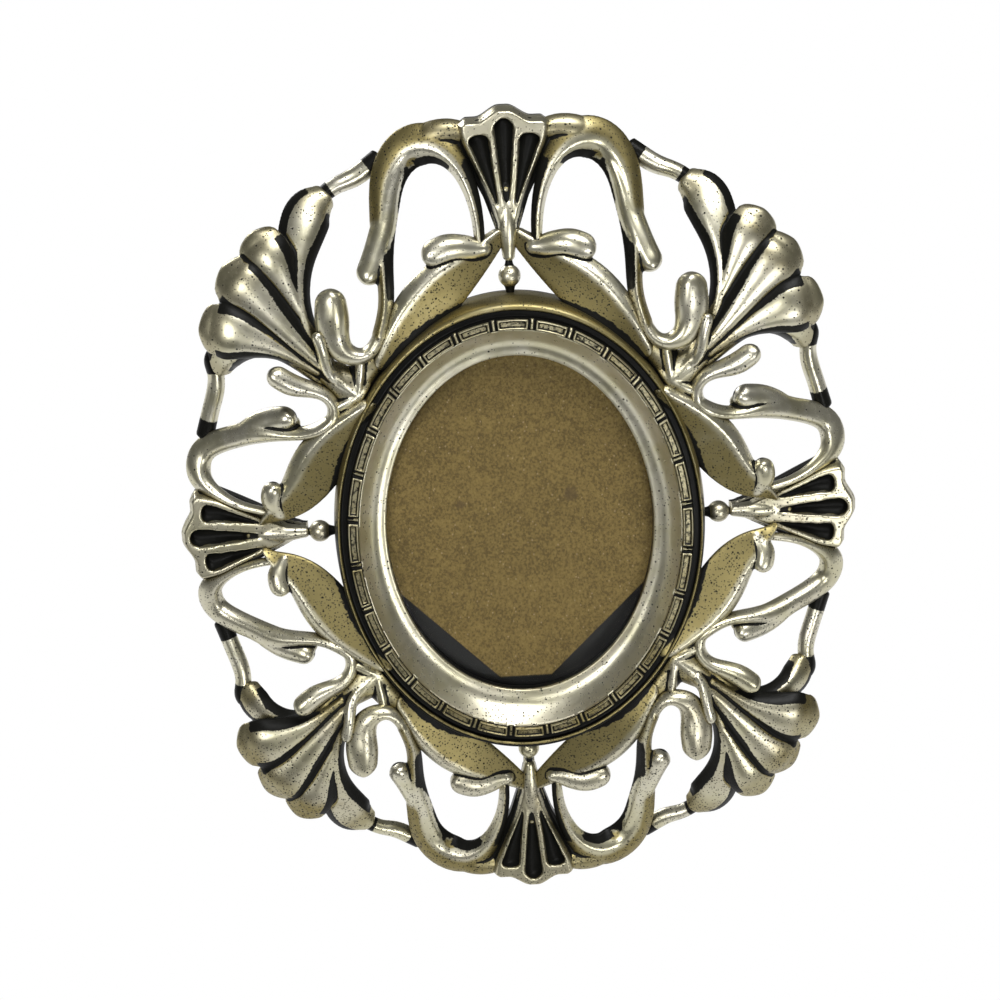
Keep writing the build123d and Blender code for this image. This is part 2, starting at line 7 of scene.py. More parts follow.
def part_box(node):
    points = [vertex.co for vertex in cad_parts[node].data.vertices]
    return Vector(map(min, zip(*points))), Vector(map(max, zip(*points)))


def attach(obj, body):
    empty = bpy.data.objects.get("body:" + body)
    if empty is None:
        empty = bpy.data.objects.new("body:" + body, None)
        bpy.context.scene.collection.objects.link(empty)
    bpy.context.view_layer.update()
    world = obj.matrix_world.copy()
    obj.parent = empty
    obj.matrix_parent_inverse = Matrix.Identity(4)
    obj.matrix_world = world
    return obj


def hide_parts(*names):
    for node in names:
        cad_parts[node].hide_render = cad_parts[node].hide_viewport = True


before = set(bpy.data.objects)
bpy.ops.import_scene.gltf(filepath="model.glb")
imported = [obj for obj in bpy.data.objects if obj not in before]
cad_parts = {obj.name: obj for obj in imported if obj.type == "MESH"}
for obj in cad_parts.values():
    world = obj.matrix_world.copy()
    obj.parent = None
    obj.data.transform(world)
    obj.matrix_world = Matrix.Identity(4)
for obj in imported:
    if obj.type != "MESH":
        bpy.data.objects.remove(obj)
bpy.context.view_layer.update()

# The oval picture frame hangs in the plane y = 0 and looks along -y. All new pieces are worked out
# in millimetres, with height counted forward from the wall, and become metres in one place.
millimetre = 0.001
ringLow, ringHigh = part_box("oval_ring")
ovalLevel = (ringLow.z + ringHigh.z) / 2 / millimetre
ringHalfWidth = (ringHigh.x - ringLow.x) / 2 / millimetre
ringHalfHeight = (ringHigh.z - ringLow.z) / 2 / millimetre
fanTop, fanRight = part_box("fan_top"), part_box("fan_right")
halfWidth = fanRight[1].x / millimetre
halfHeight = fanTop[1].z / millimetre - ovalLevel
frameDepth = 30.0

quarters = {
    "upper_right": (1, 1),
    "upper_left": (-1, 1),
    "lower_right": (1, -1),
    "lower_left": (-1, -1),
}


# Millimetres across, forward and up from the oval's centre, as metres in the CAD frame.
def toScene(points):
    across, forward, upward = points[..., 0], points[..., 1], points[..., 2]
    return np.stack([across, -forward, upward + ovalLevel], -1) * millimetre


# 0 below low, 1 above high, and the cubic 3s^2 - 2s^3 between.
def smoothStep(low, high, value):
    share = np.clip((value - low) / (high - low), 0, 1)
    return share * share * (3 - 2 * share)


# A natural cubic spline through the rows, spaced by the distance between their first three columns.
def smoothRows(rows, count):
    rows = np.asarray(rows, float)
    ways = np.concatenate([[0], np.cumsum(np.linalg.norm(np.diff(rows[:, :3], axis=0), axis=1))])
    gaps = np.diff(ways)
    total = len(rows)
    matrix = np.eye(total)
    sides = np.zeros_like(rows)
    inner = np.arange(1, total - 1)
    matrix[inner, inner - 1] = gaps[:-1]
    matrix[inner, inner] = 2 * (gaps[:-1] + gaps[1:])
    matrix[inner, inner + 1] = gaps[1:]
    slopes = np.diff(rows, axis=0) / gaps[:, None]
    sides[inner] = 6 * (slopes[1:] - slopes[:-1])
    bends = np.linalg.solve(matrix, sides)
    at = np.linspace(0, ways[-1], count)
    span = np.clip(np.searchsorted(ways, at, side="right") - 1, 0, total - 2)
    gap = gaps[span][:, None]
    left = (ways[span + 1] - at)[:, None] / gap
    right = 1 - left
    curve = left * rows[span] + right * rows[span + 1]
    curve += ((left**3 - left) * bends[span] + (right**3 - right) * bends[span + 1]) * gap**2 / 6
    return curve, at / ways[-1]


# Quarter turn, way from ring to outline and height share, as millimetres about the oval's centre.
def stationPoints(stations):
    turn, reach, height = (np.asarray(stations, float)[:, column] for column in range(3))
    angle = turn * math.pi / 2
    across = np.cos(angle) * (ringHalfWidth + reach * (halfWidth - ringHalfWidth))
    upward = np.sin(angle) * (ringHalfHeight + reach * (halfHeight - ringHalfHeight))
    return np.stack([across, height * frameDepth, upward], -1)


# Vertices in millimetres, quads, and how black and how golden each vertex is.
class Surface:
    def __init__(self, points, faces, black, gold):
        self.points = points
        self.faces = faces
        self.black = black
        self.gold = gold


# The quads of a grid of closed rings, each ring joined to the next.
def gridFaces(rings, around):
    ring, step = np.meshgrid(np.arange(rings - 1), np.arange(around), indexing="ij")
    after = (step + 1) % around
    first, second = ring * around, (ring + 1) * around
    return np.stack([first + step, first + after, second + after, second + step], -1).reshape(-1, 4)


# The quads between rings of points, and a fan of triangles from each end ring to its tip. The two
# tips are the points that follow the rings.
def skinFaces(rings, around):
    total = rings * around
    step = np.arange(around)
    after = (step + 1) % around
    last = total - around
    firstTip, lastTip = np.full(around, total), np.full(around, total + 1)
    firstFan = np.stack([after, step, firstTip, firstTip], -1)
    lastFan = np.stack([last + step, last + after, lastTip, lastTip], -1)
    return np.concatenate([gridFaces(rings, around), firstFan, lastFan])


# What all limbs share. A pair of sides gives the two powers of the fall away from the opening and
# towards it.
limb = {
    "around": 40,
    "capSteps": 7,
    "leastNarrow": 0.02,
    "edgePower": 5,
    "edgeRoot": 0.4,
    "backShare": 0.75,
    "blackBelow": -0.3,
    "sides": ((2.0, 0.6), (2.0, 0.6)),
    "edge": 0.15,
}


# Front height of a section: 1 at the crest, falling as (1 - w^p)^q to each side of it, where w is
# the way from the crest to that edge, never under the edge share, and rounded at both edges.
def ridgeProfile(across, crest, sides, edge):
    outward, inward = sides
    toInward = np.clip((across - crest) / (1 - crest), 0, 1)
    toOutward = np.clip((crest - across) / (1 + crest), 0, 1)
    fall = np.where(
        across >= crest,
        np.power(np.clip(1 - toInward ** inward[0], 0, 1), inward[1]),
        np.power(np.clip(1 - toOutward ** outward[0], 0, 1), outward[1]),
    )
    rounding = np.power(np.clip(1 - np.abs(across) ** limb["edgePower"], 0, 1), limb["edgeRoot"])
    return rounding * (edge + (1 - edge) * fall)


# A section carried along the spline through the stations. Across is the cosine of the angle, the
# front follows ridgeProfile, the back is a flatter half oval, and both ends close in a round cap
# whose section shrinks as the square root of one less the square of the way through the cap.
def limbSurface(stations, width, depth, paint, crest=0.0, sides=limb["sides"], edge=limb["edge"],
                steps=90, caps=(1.0, 1.0)):
    stations = np.asarray(stations, float)
    rows, ways = smoothRows(np.concatenate([stationPoints(stations), stations[:, 3:]], 1), steps)
    capSteps = limb["capSteps"]
    run = np.gradient(rows[:, :3], axis=0)
    run /= np.linalg.norm(run, axis=1)[:, None]
    turn = np.linspace(0, math.pi / 2, capSteps + 1)[1:]
    firstReach = rows[0, 3] * width / 2 * caps[0]
    lastReach = rows[-1, 3] * width / 2 * caps[1]
    path = np.concatenate([
        rows[0, :3] - run[0] * (np.sin(turn[::-1]) * firstReach)[:, None],
        rows[:, :3],
        rows[-1, :3] + run[-1] * (np.sin(turn) * lastReach)[:, None],
    ])
    narrow = np.concatenate([np.cos(turn[::-1]), np.ones(steps), np.cos(turn)])
    narrow = np.maximum(narrow, limb["leastNarrow"])
    pad = ((capSteps, capSteps),)
    halfAcross = np.pad(rows[:, 3], pad, mode="edge") * width / 2 * narrow
    halfDeep = np.pad(rows[:, 4], pad, mode="edge") * depth / 2 * np.sqrt(narrow)
    way = np.pad(ways, pad, mode="edge")
    run = np.concatenate([np.repeat(run[:1], capSteps, 0), run, np.repeat(run[-1:], capSteps, 0)])
    sideways = np.stack([run[:, 2], np.zeros(len(run)), -run[:, 0]], -1)
    sideways /= np.linalg.norm(sideways, axis=1)[:, None]
    rise = np.cross(run, sideways)
    rise *= np.sign(rise[:, 1])[:, None]
    angle = np.linspace(0, 2 * math.pi, limb["around"], endpoint=False)
    across = np.cos(angle)[None, :] * np.ones(len(path))[:, None]
    crests = crest if np.isscalar(crest) else np.interp(way, *crest)[:, None]
    front = ridgeProfile(across, crests, sides, edge)
    level = np.where(np.sin(angle)[None, :] >= 0, front, limb["backShare"] * np.sin(angle)[None, :])
    points = (
        path[:, None, :]
        + sideways[:, None, :] * (across * halfAcross[:, None])[..., None]
        + rise[:, None, :] * (level * halfDeep[:, None])[..., None]
    )
    black, gold = paint(way[:, None] * np.ones_like(across), across)
    black = np.maximum(black, (level < limb["blackBelow"]) * 1.0)
    return Surface(
        np.concatenate([points.reshape(-1, 3), path[:1], path[-1:]]),
        skinFaces(len(path), limb["around"]),
        np.concatenate([black.reshape(-1), [0, 0]]),
        np.concatenate([gold.reshape(-1), [0, 0]]),
    )


# An oval ball about its middle: the sine and cosine of two angles, times its three radii.
def ballSurface(middle, radii, gold, around=28, poleGap=0.02):
    polar, turn = np.meshgrid(
        np.linspace(poleGap, math.pi - poleGap, around // 2),
        np.linspace(0, 2 * math.pi, around, endpoint=False),
        indexing="ij",
    )
    unit = np.stack([np.sin(polar) * np.cos(turn), np.sin(polar) * np.sin(turn), np.cos(polar)], -1)
    points = (np.asarray(middle) + unit * np.asarray(radii)).reshape(-1, 3)
    tips = np.asarray(middle) + np.array([[0, 0, radii[2]], [0, 0, -radii[2]]])
    points = np.concatenate([points, tips])
    return Surface(points, skinFaces(around // 2, around), np.zeros(len(points)), np.full(len(points), gold))


# A black slab between two heights, its outline drawn as a list of points from above.
def slabSurface(outline, low, high):
    outline = np.asarray(outline, float)
    total = len(outline)
    layers = [np.stack([outline[:, 0], np.full(total, level), outline[:, 1]], -1) for level in (low, high)]
    middle = outline.mean(0)
    tips = np.array([[middle[0], low, middle[1]], [middle[0], high, middle[1]]])
    step = np.arange(total)
    after = (step + 1) % total
    lowTip, highTip = np.full(total, 2 * total), np.full(total, 2 * total + 1)
    faces = np.concatenate([
        np.stack([step, after, total + after, total + step], -1),
        np.stack([after, step, lowTip, lowTip], -1),
        np.stack([total + step, total + after, highTip, highTip], -1),
    ])
    points = np.concatenate([*layers, tips])
    return Surface(points, faces, np.ones(len(points)), np.zeros(len(points)))


# Several surfaces as one, their faces counted on.
def joined(parts):
    starts = np.cumsum([0] + [len(part.points) for part in parts[:-1]])
    return Surface(
        np.concatenate([part.points for part in parts]),
        np.concatenate([part.faces + start for part, start in zip(parts, starts)]),
        np.concatenate([part.black for part in parts]),
        np.concatenate([part.gold for part in parts]),
    )


# A mesh in metres. A quad that repeats its last corner is written as a triangle.
def meshOf(surface, name):
    mesh = bpy.data.meshes.new(name)
    points = toScene(surface.points)
    isTriangle = surface.faces[:, 2] == surface.faces[:, 3]
    sizes = np.where(isTriangle, 3, 4)
    starts = np.concatenate([[0], np.cumsum(sizes)[:-1]])
    keep = np.ones_like(surface.faces, bool)
    keep[:, 3] = ~isTriangle
    corners = surface.faces[keep]
    mesh.vertices.add(len(points))
    mesh.vertices.foreach_set("co", points.astype(np.float32).ravel())
    mesh.loops.add(len(corners))
    mesh.loops.foreach_set("vertex_index", corners.astype(np.int32))
    mesh.polygons.add(len(sizes))
    mesh.polygons.foreach_set("loop_start", starts.astype(np.int32))
    mesh.polygons.foreach_set("use_smooth", np.ones(len(sizes), bool))
    mesh.update(calc_edges=True)
    mesh.validate()
    return mesh


# Stores how black and how golden each vertex is, for the leaf finish.
def setFinish(mesh, black, gold):
    for name, values in (("black", black), ("gold", gold)):
        attribute = mesh.attributes.get(name) or mesh.attributes.new(name, "FLOAT", "POINT")
        attribute.data.foreach_set("value", np.clip(values, 0, 1).astype(np.float32))


def readPoints(mesh):
    points = np.empty(len(mesh.vertices) * 3, np.float32)
    mesh.vertices.foreach_get("co", points)
    return points.reshape(-1, 3).astype(float)


def readNormals(mesh):
    normals = np.empty(len(mesh.vertices) * 3, np.float32)
    mesh.vertex_normals.foreach_get("vector", normals)
    return normals.reshape(-1, 3).astype(float)


def readEdges(mesh):
    edges = np.empty(len(mesh.edges) * 2, np.int32)
    mesh.edges.foreach_get("vertices", edges)
    return edges.reshape(-1, 2)


# The mean of each vertex's neighbours.
def neighbourMean(values, edges, counts):
    ends = np.concatenate([edges[:, 0], edges[:, 1]])
    others = np.concatenate([edges[:, 1], edges[:, 0]])
    total = len(counts)
    sums = [np.bincount(ends, values[others, axis], minlength=total) for axis in range(values.shape[1])]
    return np.stack(sums, -1) / counts[:, None]


# Each round moves a vertex part of the way to its neighbours' mean, and may push it part of the way back.
def softened(points, edges, rounds, pull=0.5, push=0.0):
    counts = np.maximum(np.bincount(edges.ravel(), minlength=len(points)), 1)
    for _ in range(rounds):
        points = points + pull * (neighbourMean(points, edges, counts) - points)
        if push:
            points = points - push * (neighbourMean(points, edges, counts) - points)
    return points


# The values of the nearest source to each target, in blocks of targets.
def nearestValues(targets, sources, values):
    found = np.empty((len(targets), values.shape[1]))
    squares = (sources**2).sum(1)
    block = 1500
    for start in range(0, len(targets), block):
        part = targets[start:start + block]
        distances = squares[None, :] - 2 * part @ sources.T
        found[start:start + block] = values[distances.argmin(1)]
    return found


# How a piece is cast: the grid's cell and the reaches in millimetres, and between which depths of
# hollow, or which forward part of the normal, black or gold sets in.
casting = {
    "voxel": 0.42,
    # rounds, pull and push
    "softening": (4, 0.55, 0.5),
    "paintSpread": 3.6,
    "hollowPull": 0.9,
    "narrowReach": 2.0,
    "narrowBlack": (0.05, 0.16),
    "wideReach": 4.3,
    "wideBlack": (0.16, 0.42),
    "wideGold": (0.02, 0.2),
    "backBlack": (0.25, 0.6),
}


# How far the skin, softened over the reach, lies outside the skin along its normal, in millimetres.
# The rounds needed are the square of the reach over the pull and the square of the voxel.
def hollowDepth(points, normals, edges, reach):
    pull = casting["hollowPull"]
    rounds = math.ceil(reach**2 / (pull * casting["voxel"]**2))
    return ((softened(points, edges, rounds, pull) - points) * normals).sum(1) / millimetre


# The surfaces fused into one skin on a fine grid, softened as a casting is, with black gathered in
# its hollows: where the far softened skin lies outside the skin, along its normal.
def castMesh(parts, name):
    whole = joined(parts)
    rough = bpy.data.objects.new(name + "_rough", meshOf(whole, name + "_rough"))
    bpy.context.scene.collection.objects.link(rough)
    fuse = rough.modifiers.new("fuse", "REMESH")
    fuse.mode = "VOXEL"
    fuse.voxel_size = casting["voxel"] * millimetre
    graph = bpy.context.evaluated_depsgraph_get()
    mesh = bpy.data.meshes.new_from_object(rough.evaluated_get(graph))
    mesh.name = name
    bpy.data.objects.remove(rough)
    edges = readEdges(mesh)
    points = softened(readPoints(mesh), edges, *casting["softening"])
    mesh.vertices.foreach_set("co", points.astype(np.float32).ravel())
    mesh.update()
    normals = readNormals(mesh)
    narrowHollow = hollowDepth(points, normals, edges, casting["narrowReach"])
    wideHollow = hollowDepth(points, normals, edges, casting["wideReach"])
    paints = nearestValues(points, toScene(whole.points), np.stack([whole.black, whole.gold], -1))
    paints = softened(paints, edges, round(casting["paintSpread"] / casting["voxel"]))
    narrowBlack = smoothStep(*casting["narrowBlack"], narrowHollow)
    wideBlack = smoothStep(*casting["wideBlack"], wideHollow)
    backs = smoothStep(*casting["backBlack"], normals[:, 1])
    black = np.max([paints[:, 0], narrowBlack, wideBlack, backs], axis=0)
    gold = np.maximum(paints[:, 1], smoothStep(*casting["wideGold"], wideHollow))
    setFinish(mesh, black, gold)
    mesh.polygons.foreach_set("use_smooth", np.ones(len(mesh.polygons), bool))
    print(name, "has", len(mesh.polygons), "faces")
    return mesh


# The mesh on another side of the oval's axes, its faces turned over when one axis is crossed.
def mirroredMesh(mesh, name, acrossSign, upwardSign):
    copy = mesh.copy()
    copy.name = name
    points = readPoints(copy)
    points[:, 0] *= acrossSign
    middle = ovalLevel * millimetre
    points[:, 2] = middle + upwardSign * (points[:, 2] - middle)
    copy.vertices.foreach_set("co", points.astype(np.float32).ravel())
    if acrossSign * upwardSign < 0:
        copy.flip_normals()
    copy.update()
    return copy


# A shown leafed piece that rides on the frame and stands for a CAD node.
def addPiece(mesh, name, material, node):
    piece = bpy.data.objects.new(name, mesh)
    bpy.context.scene.collection.objects.link(piece)
    mesh.materials.clear()
    mesh.materials.append(material)
    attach(piece, "frame")
    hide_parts(node)
    return piece


# Materials


# Adds nodes to a material and joins them by socket name.
class NodeMaker:
    def __init__(self, name):
        self.material = bpy.data.materials.new(name)
        self.material.use_nodes = True
        self.tree = self.material.node_tree
        self.shader = self.tree.nodes["Principled BSDF"]
        self.output = self.tree.nodes["Material Output"]
        self.place = self.add("ShaderNodeTexCoord").outputs["Object"]

    def set(self, socket, value):
        if isinstance(value, bpy.types.NodeSocket):
            self.tree.links.new(value, socket)
        else:
            socket.default_value = value

    def add(self, kind, inputs=None, **settings):
        node = self.tree.nodes.new(kind)
        for key, value in settings.items():
            setattr(node, key, value)
        for key, value in (inputs or {}).items():
            self.set(node.inputs[key], value)
        return node

    def math(self, operation, first, second, third=0.0, clamp=False):
        inputs = {0: first, 1: second, 2: third}
        return self.add("ShaderNodeMath", inputs, operation=operation, use_clamp=clamp).outputs[0]

    # The sum of the values, each times its weight, plus a constant.
    def weighted(self, values, weights, constant=0.0, clamp=False):
        total = constant
        for number, (value, weight) in enumerate(zip(values, weights), 1):
            total = self.math("MULTIPLY_ADD", value, weight, total, clamp and number == len(values))
        return total

    # A smooth step from low to high.
    def ramp(self, value, low, high):
        inputs = {"Value": value, "From Min": low, "From Max": high}
        return self.add("ShaderNodeMapRange", inputs, interpolation_type="SMOOTHSTEP").outputs["Result"]

    def noise(self, cells, detail, roughness=0.5, place=None):
        inputs = {"Vector": place or self.place, "Scale": cells, "Detail": detail, "Roughness": roughness}
        return self.add("ShaderNodeTexNoise", inputs).outputs["Fac"]

    # Dots in a share of the cells round scattered points, full inside the second edge.
    def dots(self, cells, edges, share, channel=0):
        grid = self.add("ShaderNodeTexVoronoi", {"Vector": self.place, "Scale": cells})
        dot = self.ramp(grid.outputs["Distance"], *edges)
        pick = self.add("ShaderNodeSeparateColor", {0: grid.outputs["Color"]}).outputs[channel]
        return self.math("MULTIPLY", dot, self.math("LESS_THAN", pick, share))

    def attribute(self, name):
        return self.add("ShaderNodeAttribute", attribute_name=name).outputs["Fac"]

    def mixColor(self, share, first, second):
        node = self.add("ShaderNodeMix", data_type="RGBA")
        for index, value in ((0, share), (6, first), (7, second)):
            self.set(node.inputs[index], value)
        return node.outputs[2]

    # Sets the shader's inputs by their socket names.
    def finish(self, values):
        for name, value in values.items():
            self.set(self.shader.inputs[name], value)

    def bump(self, height, strength, distance):
        node = self.add("ShaderNodeBump", {"Strength": strength, "Distance": distance, "Height": height})
        self.finish({"Normal": node.outputs["Normal"]})


# Noises give their cells for each metre, detail and roughness. The speck weights are for how low,
# how golden, how deep in a hollow and how patchy a place is. The gold weights are for how golden,
# patchy, low and deep it is.
leafFinish = {
    "silver": (0.56, 0.53, 0.37, 1),
    "paleSilver": (0.74, 0.715, 0.60, 1),
    "gold": (0.250, 0.208, 0.088, 1),
    "paintBlack": (0.006, 0.006, 0.005, 1),
    "raggedNoise": (900.0, 3.0, 0.6),
    "patchNoise": (60.0, 4.0, 0.62),
    "brushNoise": (400.0, 5.0, 0.7),
    "raggedWidth": 0.6,
    "blackEdge": (0.40, 0.58),
    "lowerHalf": (0.06, -0.09),
    "hollowReach": 0.004,
    "hollowBlack": (0.52, 0.24),
    "hollowSpecks": (0.95, 0.55),
    "hollowGold": (0.85, 0.45),
    "speckCells": 620.0,
    "speckEdges": (0.27, 0.16),
    "speckWeights": (0.30, 0.42, 0.60, 1.3),
    "speckBase": -0.535,
    "fineCells": 1150.0,
    "fineEdges": (0.38, 0.22),
    "fineShare": 1.5,
    "fineStrength": 0.8,
    "goldWeights": (1.0, 1.2, 0.15, 0.6),
    "goldBase": -0.6,
    "goldMix": (0.05, 0.90),
    "paleMix": (0.35, 0.65),
    "metallic": 0.96,
    "specular": 0.5,
    "blackSpecular": 0.10,
    "roughWeights": (0.20, 0.14),
    "roughBase": 0.20,
    "reliefWeights": (0.6, -0.7),
    "bump": (0.30, 0.00012),
}


# Champagne silver leaf over black: ragged black where the piece is black, a golden tone in patches,
# and dark specks of two sizes, denser below the middle of the frame and in hollows.
def makeLeafMaterial(name, speckAmount, extraGold):
    finish = leafFinish
    make = NodeMaker(name)
    black, gold = make.attribute("black"), make.attribute("gold")
    ragged = make.noise(*finish["raggedNoise"])
    patches = make.noise(*finish["patchNoise"])
    brushed = make.noise(*finish["brushNoise"])
    height = make.add("ShaderNodeSeparateXYZ", {0: make.place}).outputs["Z"]
    lowerStart, lowerEnd = (ovalLevel * millimetre + level for level in finish["lowerHalf"])
    below = make.ramp(height, lowerStart, lowerEnd)
    reach = {"Distance": finish["hollowReach"]}
    openness = make.add("ShaderNodeAmbientOcclusion", reach, samples=6).outputs["AO"]
    raggedBlack = make.weighted((black, ragged), (1.0, finish["raggedWidth"]), -finish["raggedWidth"] / 2)
    deepBlack = make.ramp(openness, *finish["hollowBlack"])
    blackShare = make.ramp(make.math("MAXIMUM", raggedBlack, deepBlack), *finish["blackEdge"])
    deep = make.ramp(openness, *finish["hollowSpecks"])
    chance = make.weighted((below, gold, deep, patches), finish["speckWeights"], finish["speckBase"])
    chance = make.math("MULTIPLY", chance, speckAmount)
    specks = make.dots(finish["speckCells"], finish["speckEdges"], chance)
    fineChance = make.math("MULTIPLY", chance, finish["fineShare"])
    fineSpecks = make.dots(finish["fineCells"], finish["fineEdges"], fineChance)
    fineSpecks = make.math("MULTIPLY", fineSpecks, finish["fineStrength"])
    speckShare = make.math("MAXIMUM", specks, fineSpecks)
    deepGold = make.ramp(openness, *finish["hollowGold"])
    goldBase = finish["goldBase"] + extraGold
    goldShare = make.weighted((gold, patches, below, deepGold), finish["goldWeights"], goldBase, True)
    leaf = make.mixColor(make.ramp(patches, *finish["paleMix"]), finish["silver"], finish["paleSilver"])
    leaf = make.mixColor(make.ramp(goldShare, *finish["goldMix"]), leaf, finish["gold"])
    dark = make.math("MAXIMUM", blackShare, speckShare)
    darkening = finish["blackSpecular"] - finish["specular"]
    make.finish({
        "Base Color": make.mixColor(dark, leaf, finish["paintBlack"]),
        "Metallic": make.weighted((dark,), (-finish["metallic"],), finish["metallic"]),
        "Specular IOR Level": make.weighted((dark,), (darkening,), finish["specular"]),
        "Roughness": make.weighted((brushed, goldShare), finish["roughWeights"], finish["roughBase"]),
    })
    make.bump(make.weighted((brushed, speckShare), finish["reliefWeights"]), *finish["bump"])
    return make.material


boardFinish = {
    "light": (0.228, 0.158, 0.045, 1),
    "dark": (0.082, 0.055, 0.012, 1),
    "fibre": (0.42, 0.31, 0.16, 1),
    "stain": (0.075, 0.048, 0.018, 1),
    "cloudNoise": (90.0, 6.0, 0.7),
    "grainNoise": (1300.0, 4.0, 0.75),
    "mottleWeights": (0.22, 0.78),
    "mottleMix": (0.36, 0.64),
    "fibreCells": 520.0,
    "fibreEdges": (0.20, 0.08),
    "fibreShare": 0.10,
    "fibreStrength": 0.55,
    # across and upward from the oval's centre, and radius, in metres
    "stains": ((0.0176, 0.0090, 0.0031), (-0.0196, 0.0071, 0.0019)),
    "stainRagged": 0.9,
    "stainCore": 0.55,
    "stainStrength": 0.62,
    "roughness": 0.85,
    "bump": (0.5, 0.00012),
}


# Brown board: a fine mottled grain, scattered pale fibres, and two round stains.
def makeBoardMaterial():
    finish = boardFinish
    make = NodeMaker("brownBoard")
    cloud, grain = make.noise(*finish["cloudNoise"]), make.noise(*finish["grainNoise"])
    mottle = make.weighted((cloud, grain), finish["mottleWeights"])
    color = make.mixColor(make.ramp(mottle, *finish["mottleMix"]), finish["dark"], finish["light"])
    fibres = make.dots(finish["fibreCells"], finish["fibreEdges"], finish["fibreShare"], 1)
    color = make.mixColor(make.math("MULTIPLY", fibres, finish["fibreStrength"]), color, finish["fibre"])
    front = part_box("picture_card")[0].y
    for across, upward, radius in finish["stains"]:
        spot = Vector((across, front, ovalLevel * millimetre + upward))
        ends = {0: make.place, 1: spot}
        away = make.add("ShaderNodeVectorMath", ends, operation="DISTANCE").outputs["Value"]
        width = radius * finish["stainRagged"]
        ragged = make.weighted((away, grain), (1.0, width), -width / 2)
        stain = make.ramp(ragged, radius, radius * finish["stainCore"])
        color = make.mixColor(make.math("MULTIPLY", stain, finish["stainStrength"]), color, finish["stain"])
    make.finish({"Base Color": color, "Roughness": finish["roughness"]})
    make.bump(mottle, *finish["bump"])
    return make.material


blackBoardFinish = {
    "black": (0.006, 0.006, 0.0055, 1),
    "scuffed": (0.022, 0.021, 0.018, 1),
    "cloudNoise": (160.0, 6.0, 0.7),
    "scuffMix": (0.55, 0.8),
    "roughWeight": 0.3,
    "roughBase": 0.38,
    "bump": (0.25, 0.0001),
}


# Black faced board with faint scuffs.
def makeBlackBoardMaterial():
    finish = blackBoardFinish
    make = NodeMaker("blackBoard")
    cloud = make.noise(*finish["cloudNoise"])
    make.finish({
        "Base Color": make.mixColor(make.ramp(cloud, *finish["scuffMix"]), finish["black"], finish["scuffed"]),
        "Roughness": make.weighted((cloud,), (finish["roughWeight"],), finish["roughBase"]),
    })
    make.bump(cloud, *finish["bump"])
    return make.material


paneFinish = {
    "tint": (0.96, 0.98, 0.97, 1),
    "refraction": 1.5,
    "opacity": 0.22,
    "hazeNoise": (35.0, 3.0),
    "roughWeight": 0.05,
    "roughBase": 0.01,
}


# Clear glass, thin enough that the card behind it keeps its light.
def makePaneMaterial():
    finish = paneFinish
    make = NodeMaker("paneGlass")
    haze = make.noise(*finish["hazeNoise"])
    make.finish({
        "Base Color": finish["tint"],
        "Transmission Weight": 1.0,
        "IOR": finish["refraction"],
        "Alpha": finish["opacity"],
        "Roughness": make.weighted((haze,), (finish["roughWeight"],), finish["roughBase"]),
    })
    return make.material


steelFinish = {
    "sheetTint": (0.62, 0.58, 0.48),
    "screwTint": (0.70, 0.69, 0.66),
    "dullShare": 0.55,
    "dullMix": (0.42, 0.7),
    "cloudNoise": (240.0, 5.0, 0.65),
    "lineScale": (250.0, 4000.0, 4000.0),
    "lineDetail": 2.0,
    "roughWeight": 0.35,
    "roughBase": 0.18,
    "bump": (0.2, 0.00005),
}


# Zinc plated steel: fine drawn lines, cloudy plating and dull spots.
def makeSteelMaterial(name, tint):
    finish = steelFinish
    make = NodeMaker(name)
    cloud = make.noise(*finish["cloudNoise"])
    stretch = {"Vector": make.place, "Scale": finish["lineScale"]}
    stretched = make.add("ShaderNodeMapping", stretch).outputs["Vector"]
    lines = make.noise(1.0, finish["lineDetail"], place=stretched)
    dull = tuple(finish["dullShare"] * value for value in tint)
    make.finish({
        "Base Color": make.mixColor(make.ramp(cloud, *finish["dullMix"]), (*tint, 1), (*dull, 1)),
        "Metallic": 1.0,
        "Roughness": make.weighted((cloud,), (finish["roughWeight"],), finish["roughBase"]),
    })
    make.bump(lines, *finish["bump"])
    return make.material


leafMaterial = makeLeafMaterial("antiqueLeaf", speckAmount=1.0, extraGold=0.0)
coveMaterial = makeLeafMaterial("mouldingLeaf", speckAmount=0.55, extraGold=0.02)
boardMaterial = makeBoardMaterial()
blackBoardMaterial = makeBlackBoardMaterial()
paneMaterial = makePaneMaterial()
plateMaterial = makeSteelMaterial("platedSheet", steelFinish["sheetTint"])
screwMaterial = makeSteelMaterial("platedScrew", steelFinish["screwTint"])
print("materials ready")

# Oval moulding

moulding = {
    "sightWidth": 89.8,
    "sightHeight": 118.8,
    "sightEdgeHeight": 19.5,
    "sightLip": 4.0,
    "coveWidth": 8.8,
    "coveEndWidth": 10.4,
    "coveTopHeight": 26.6,
    "coveHollow": 2.2,
    "coveSkew": 0.25,
    "lipRadius": 0.6,
    # height, count round the oval and phase of each
    "coveWaves": ((0.05, 9, 1.3), (0.04, 17, 0.4)),
    "barBand": 3.8,
    "barRise": 1.4,
    "barCount": 28,
    "barGap": 2.2,
    "barShoulder": 0.55,
    "barFrame": (0.55, 1.10),
    "barHollow": 1.05,
    "spacerRise": 0.7,
    "spacerWidth": 0.8,
    "spacerEdge": (0.65, 0.30),
    "spacerEnd": 0.5,
    "gapDepth": 0.5,
    "gapEdge": (0.1, -0.3),
    "grooveWidth": 2.4,
    "grooveDepth": 2.4,
    "rimHeight": 26.0,
    "rimSlope": 1.6,
    "rimRadius": 0.7,
    "rimLift": 0.3,
    "rimFootHeight": 17.6,
    "backHeight": 8.6,
    "backInset": 0.3,
    "backLip": 0.3,
    "bevel": 0.1,
    "rebateOverlap": 4.0,
    "aroundSteps": 1120,
}
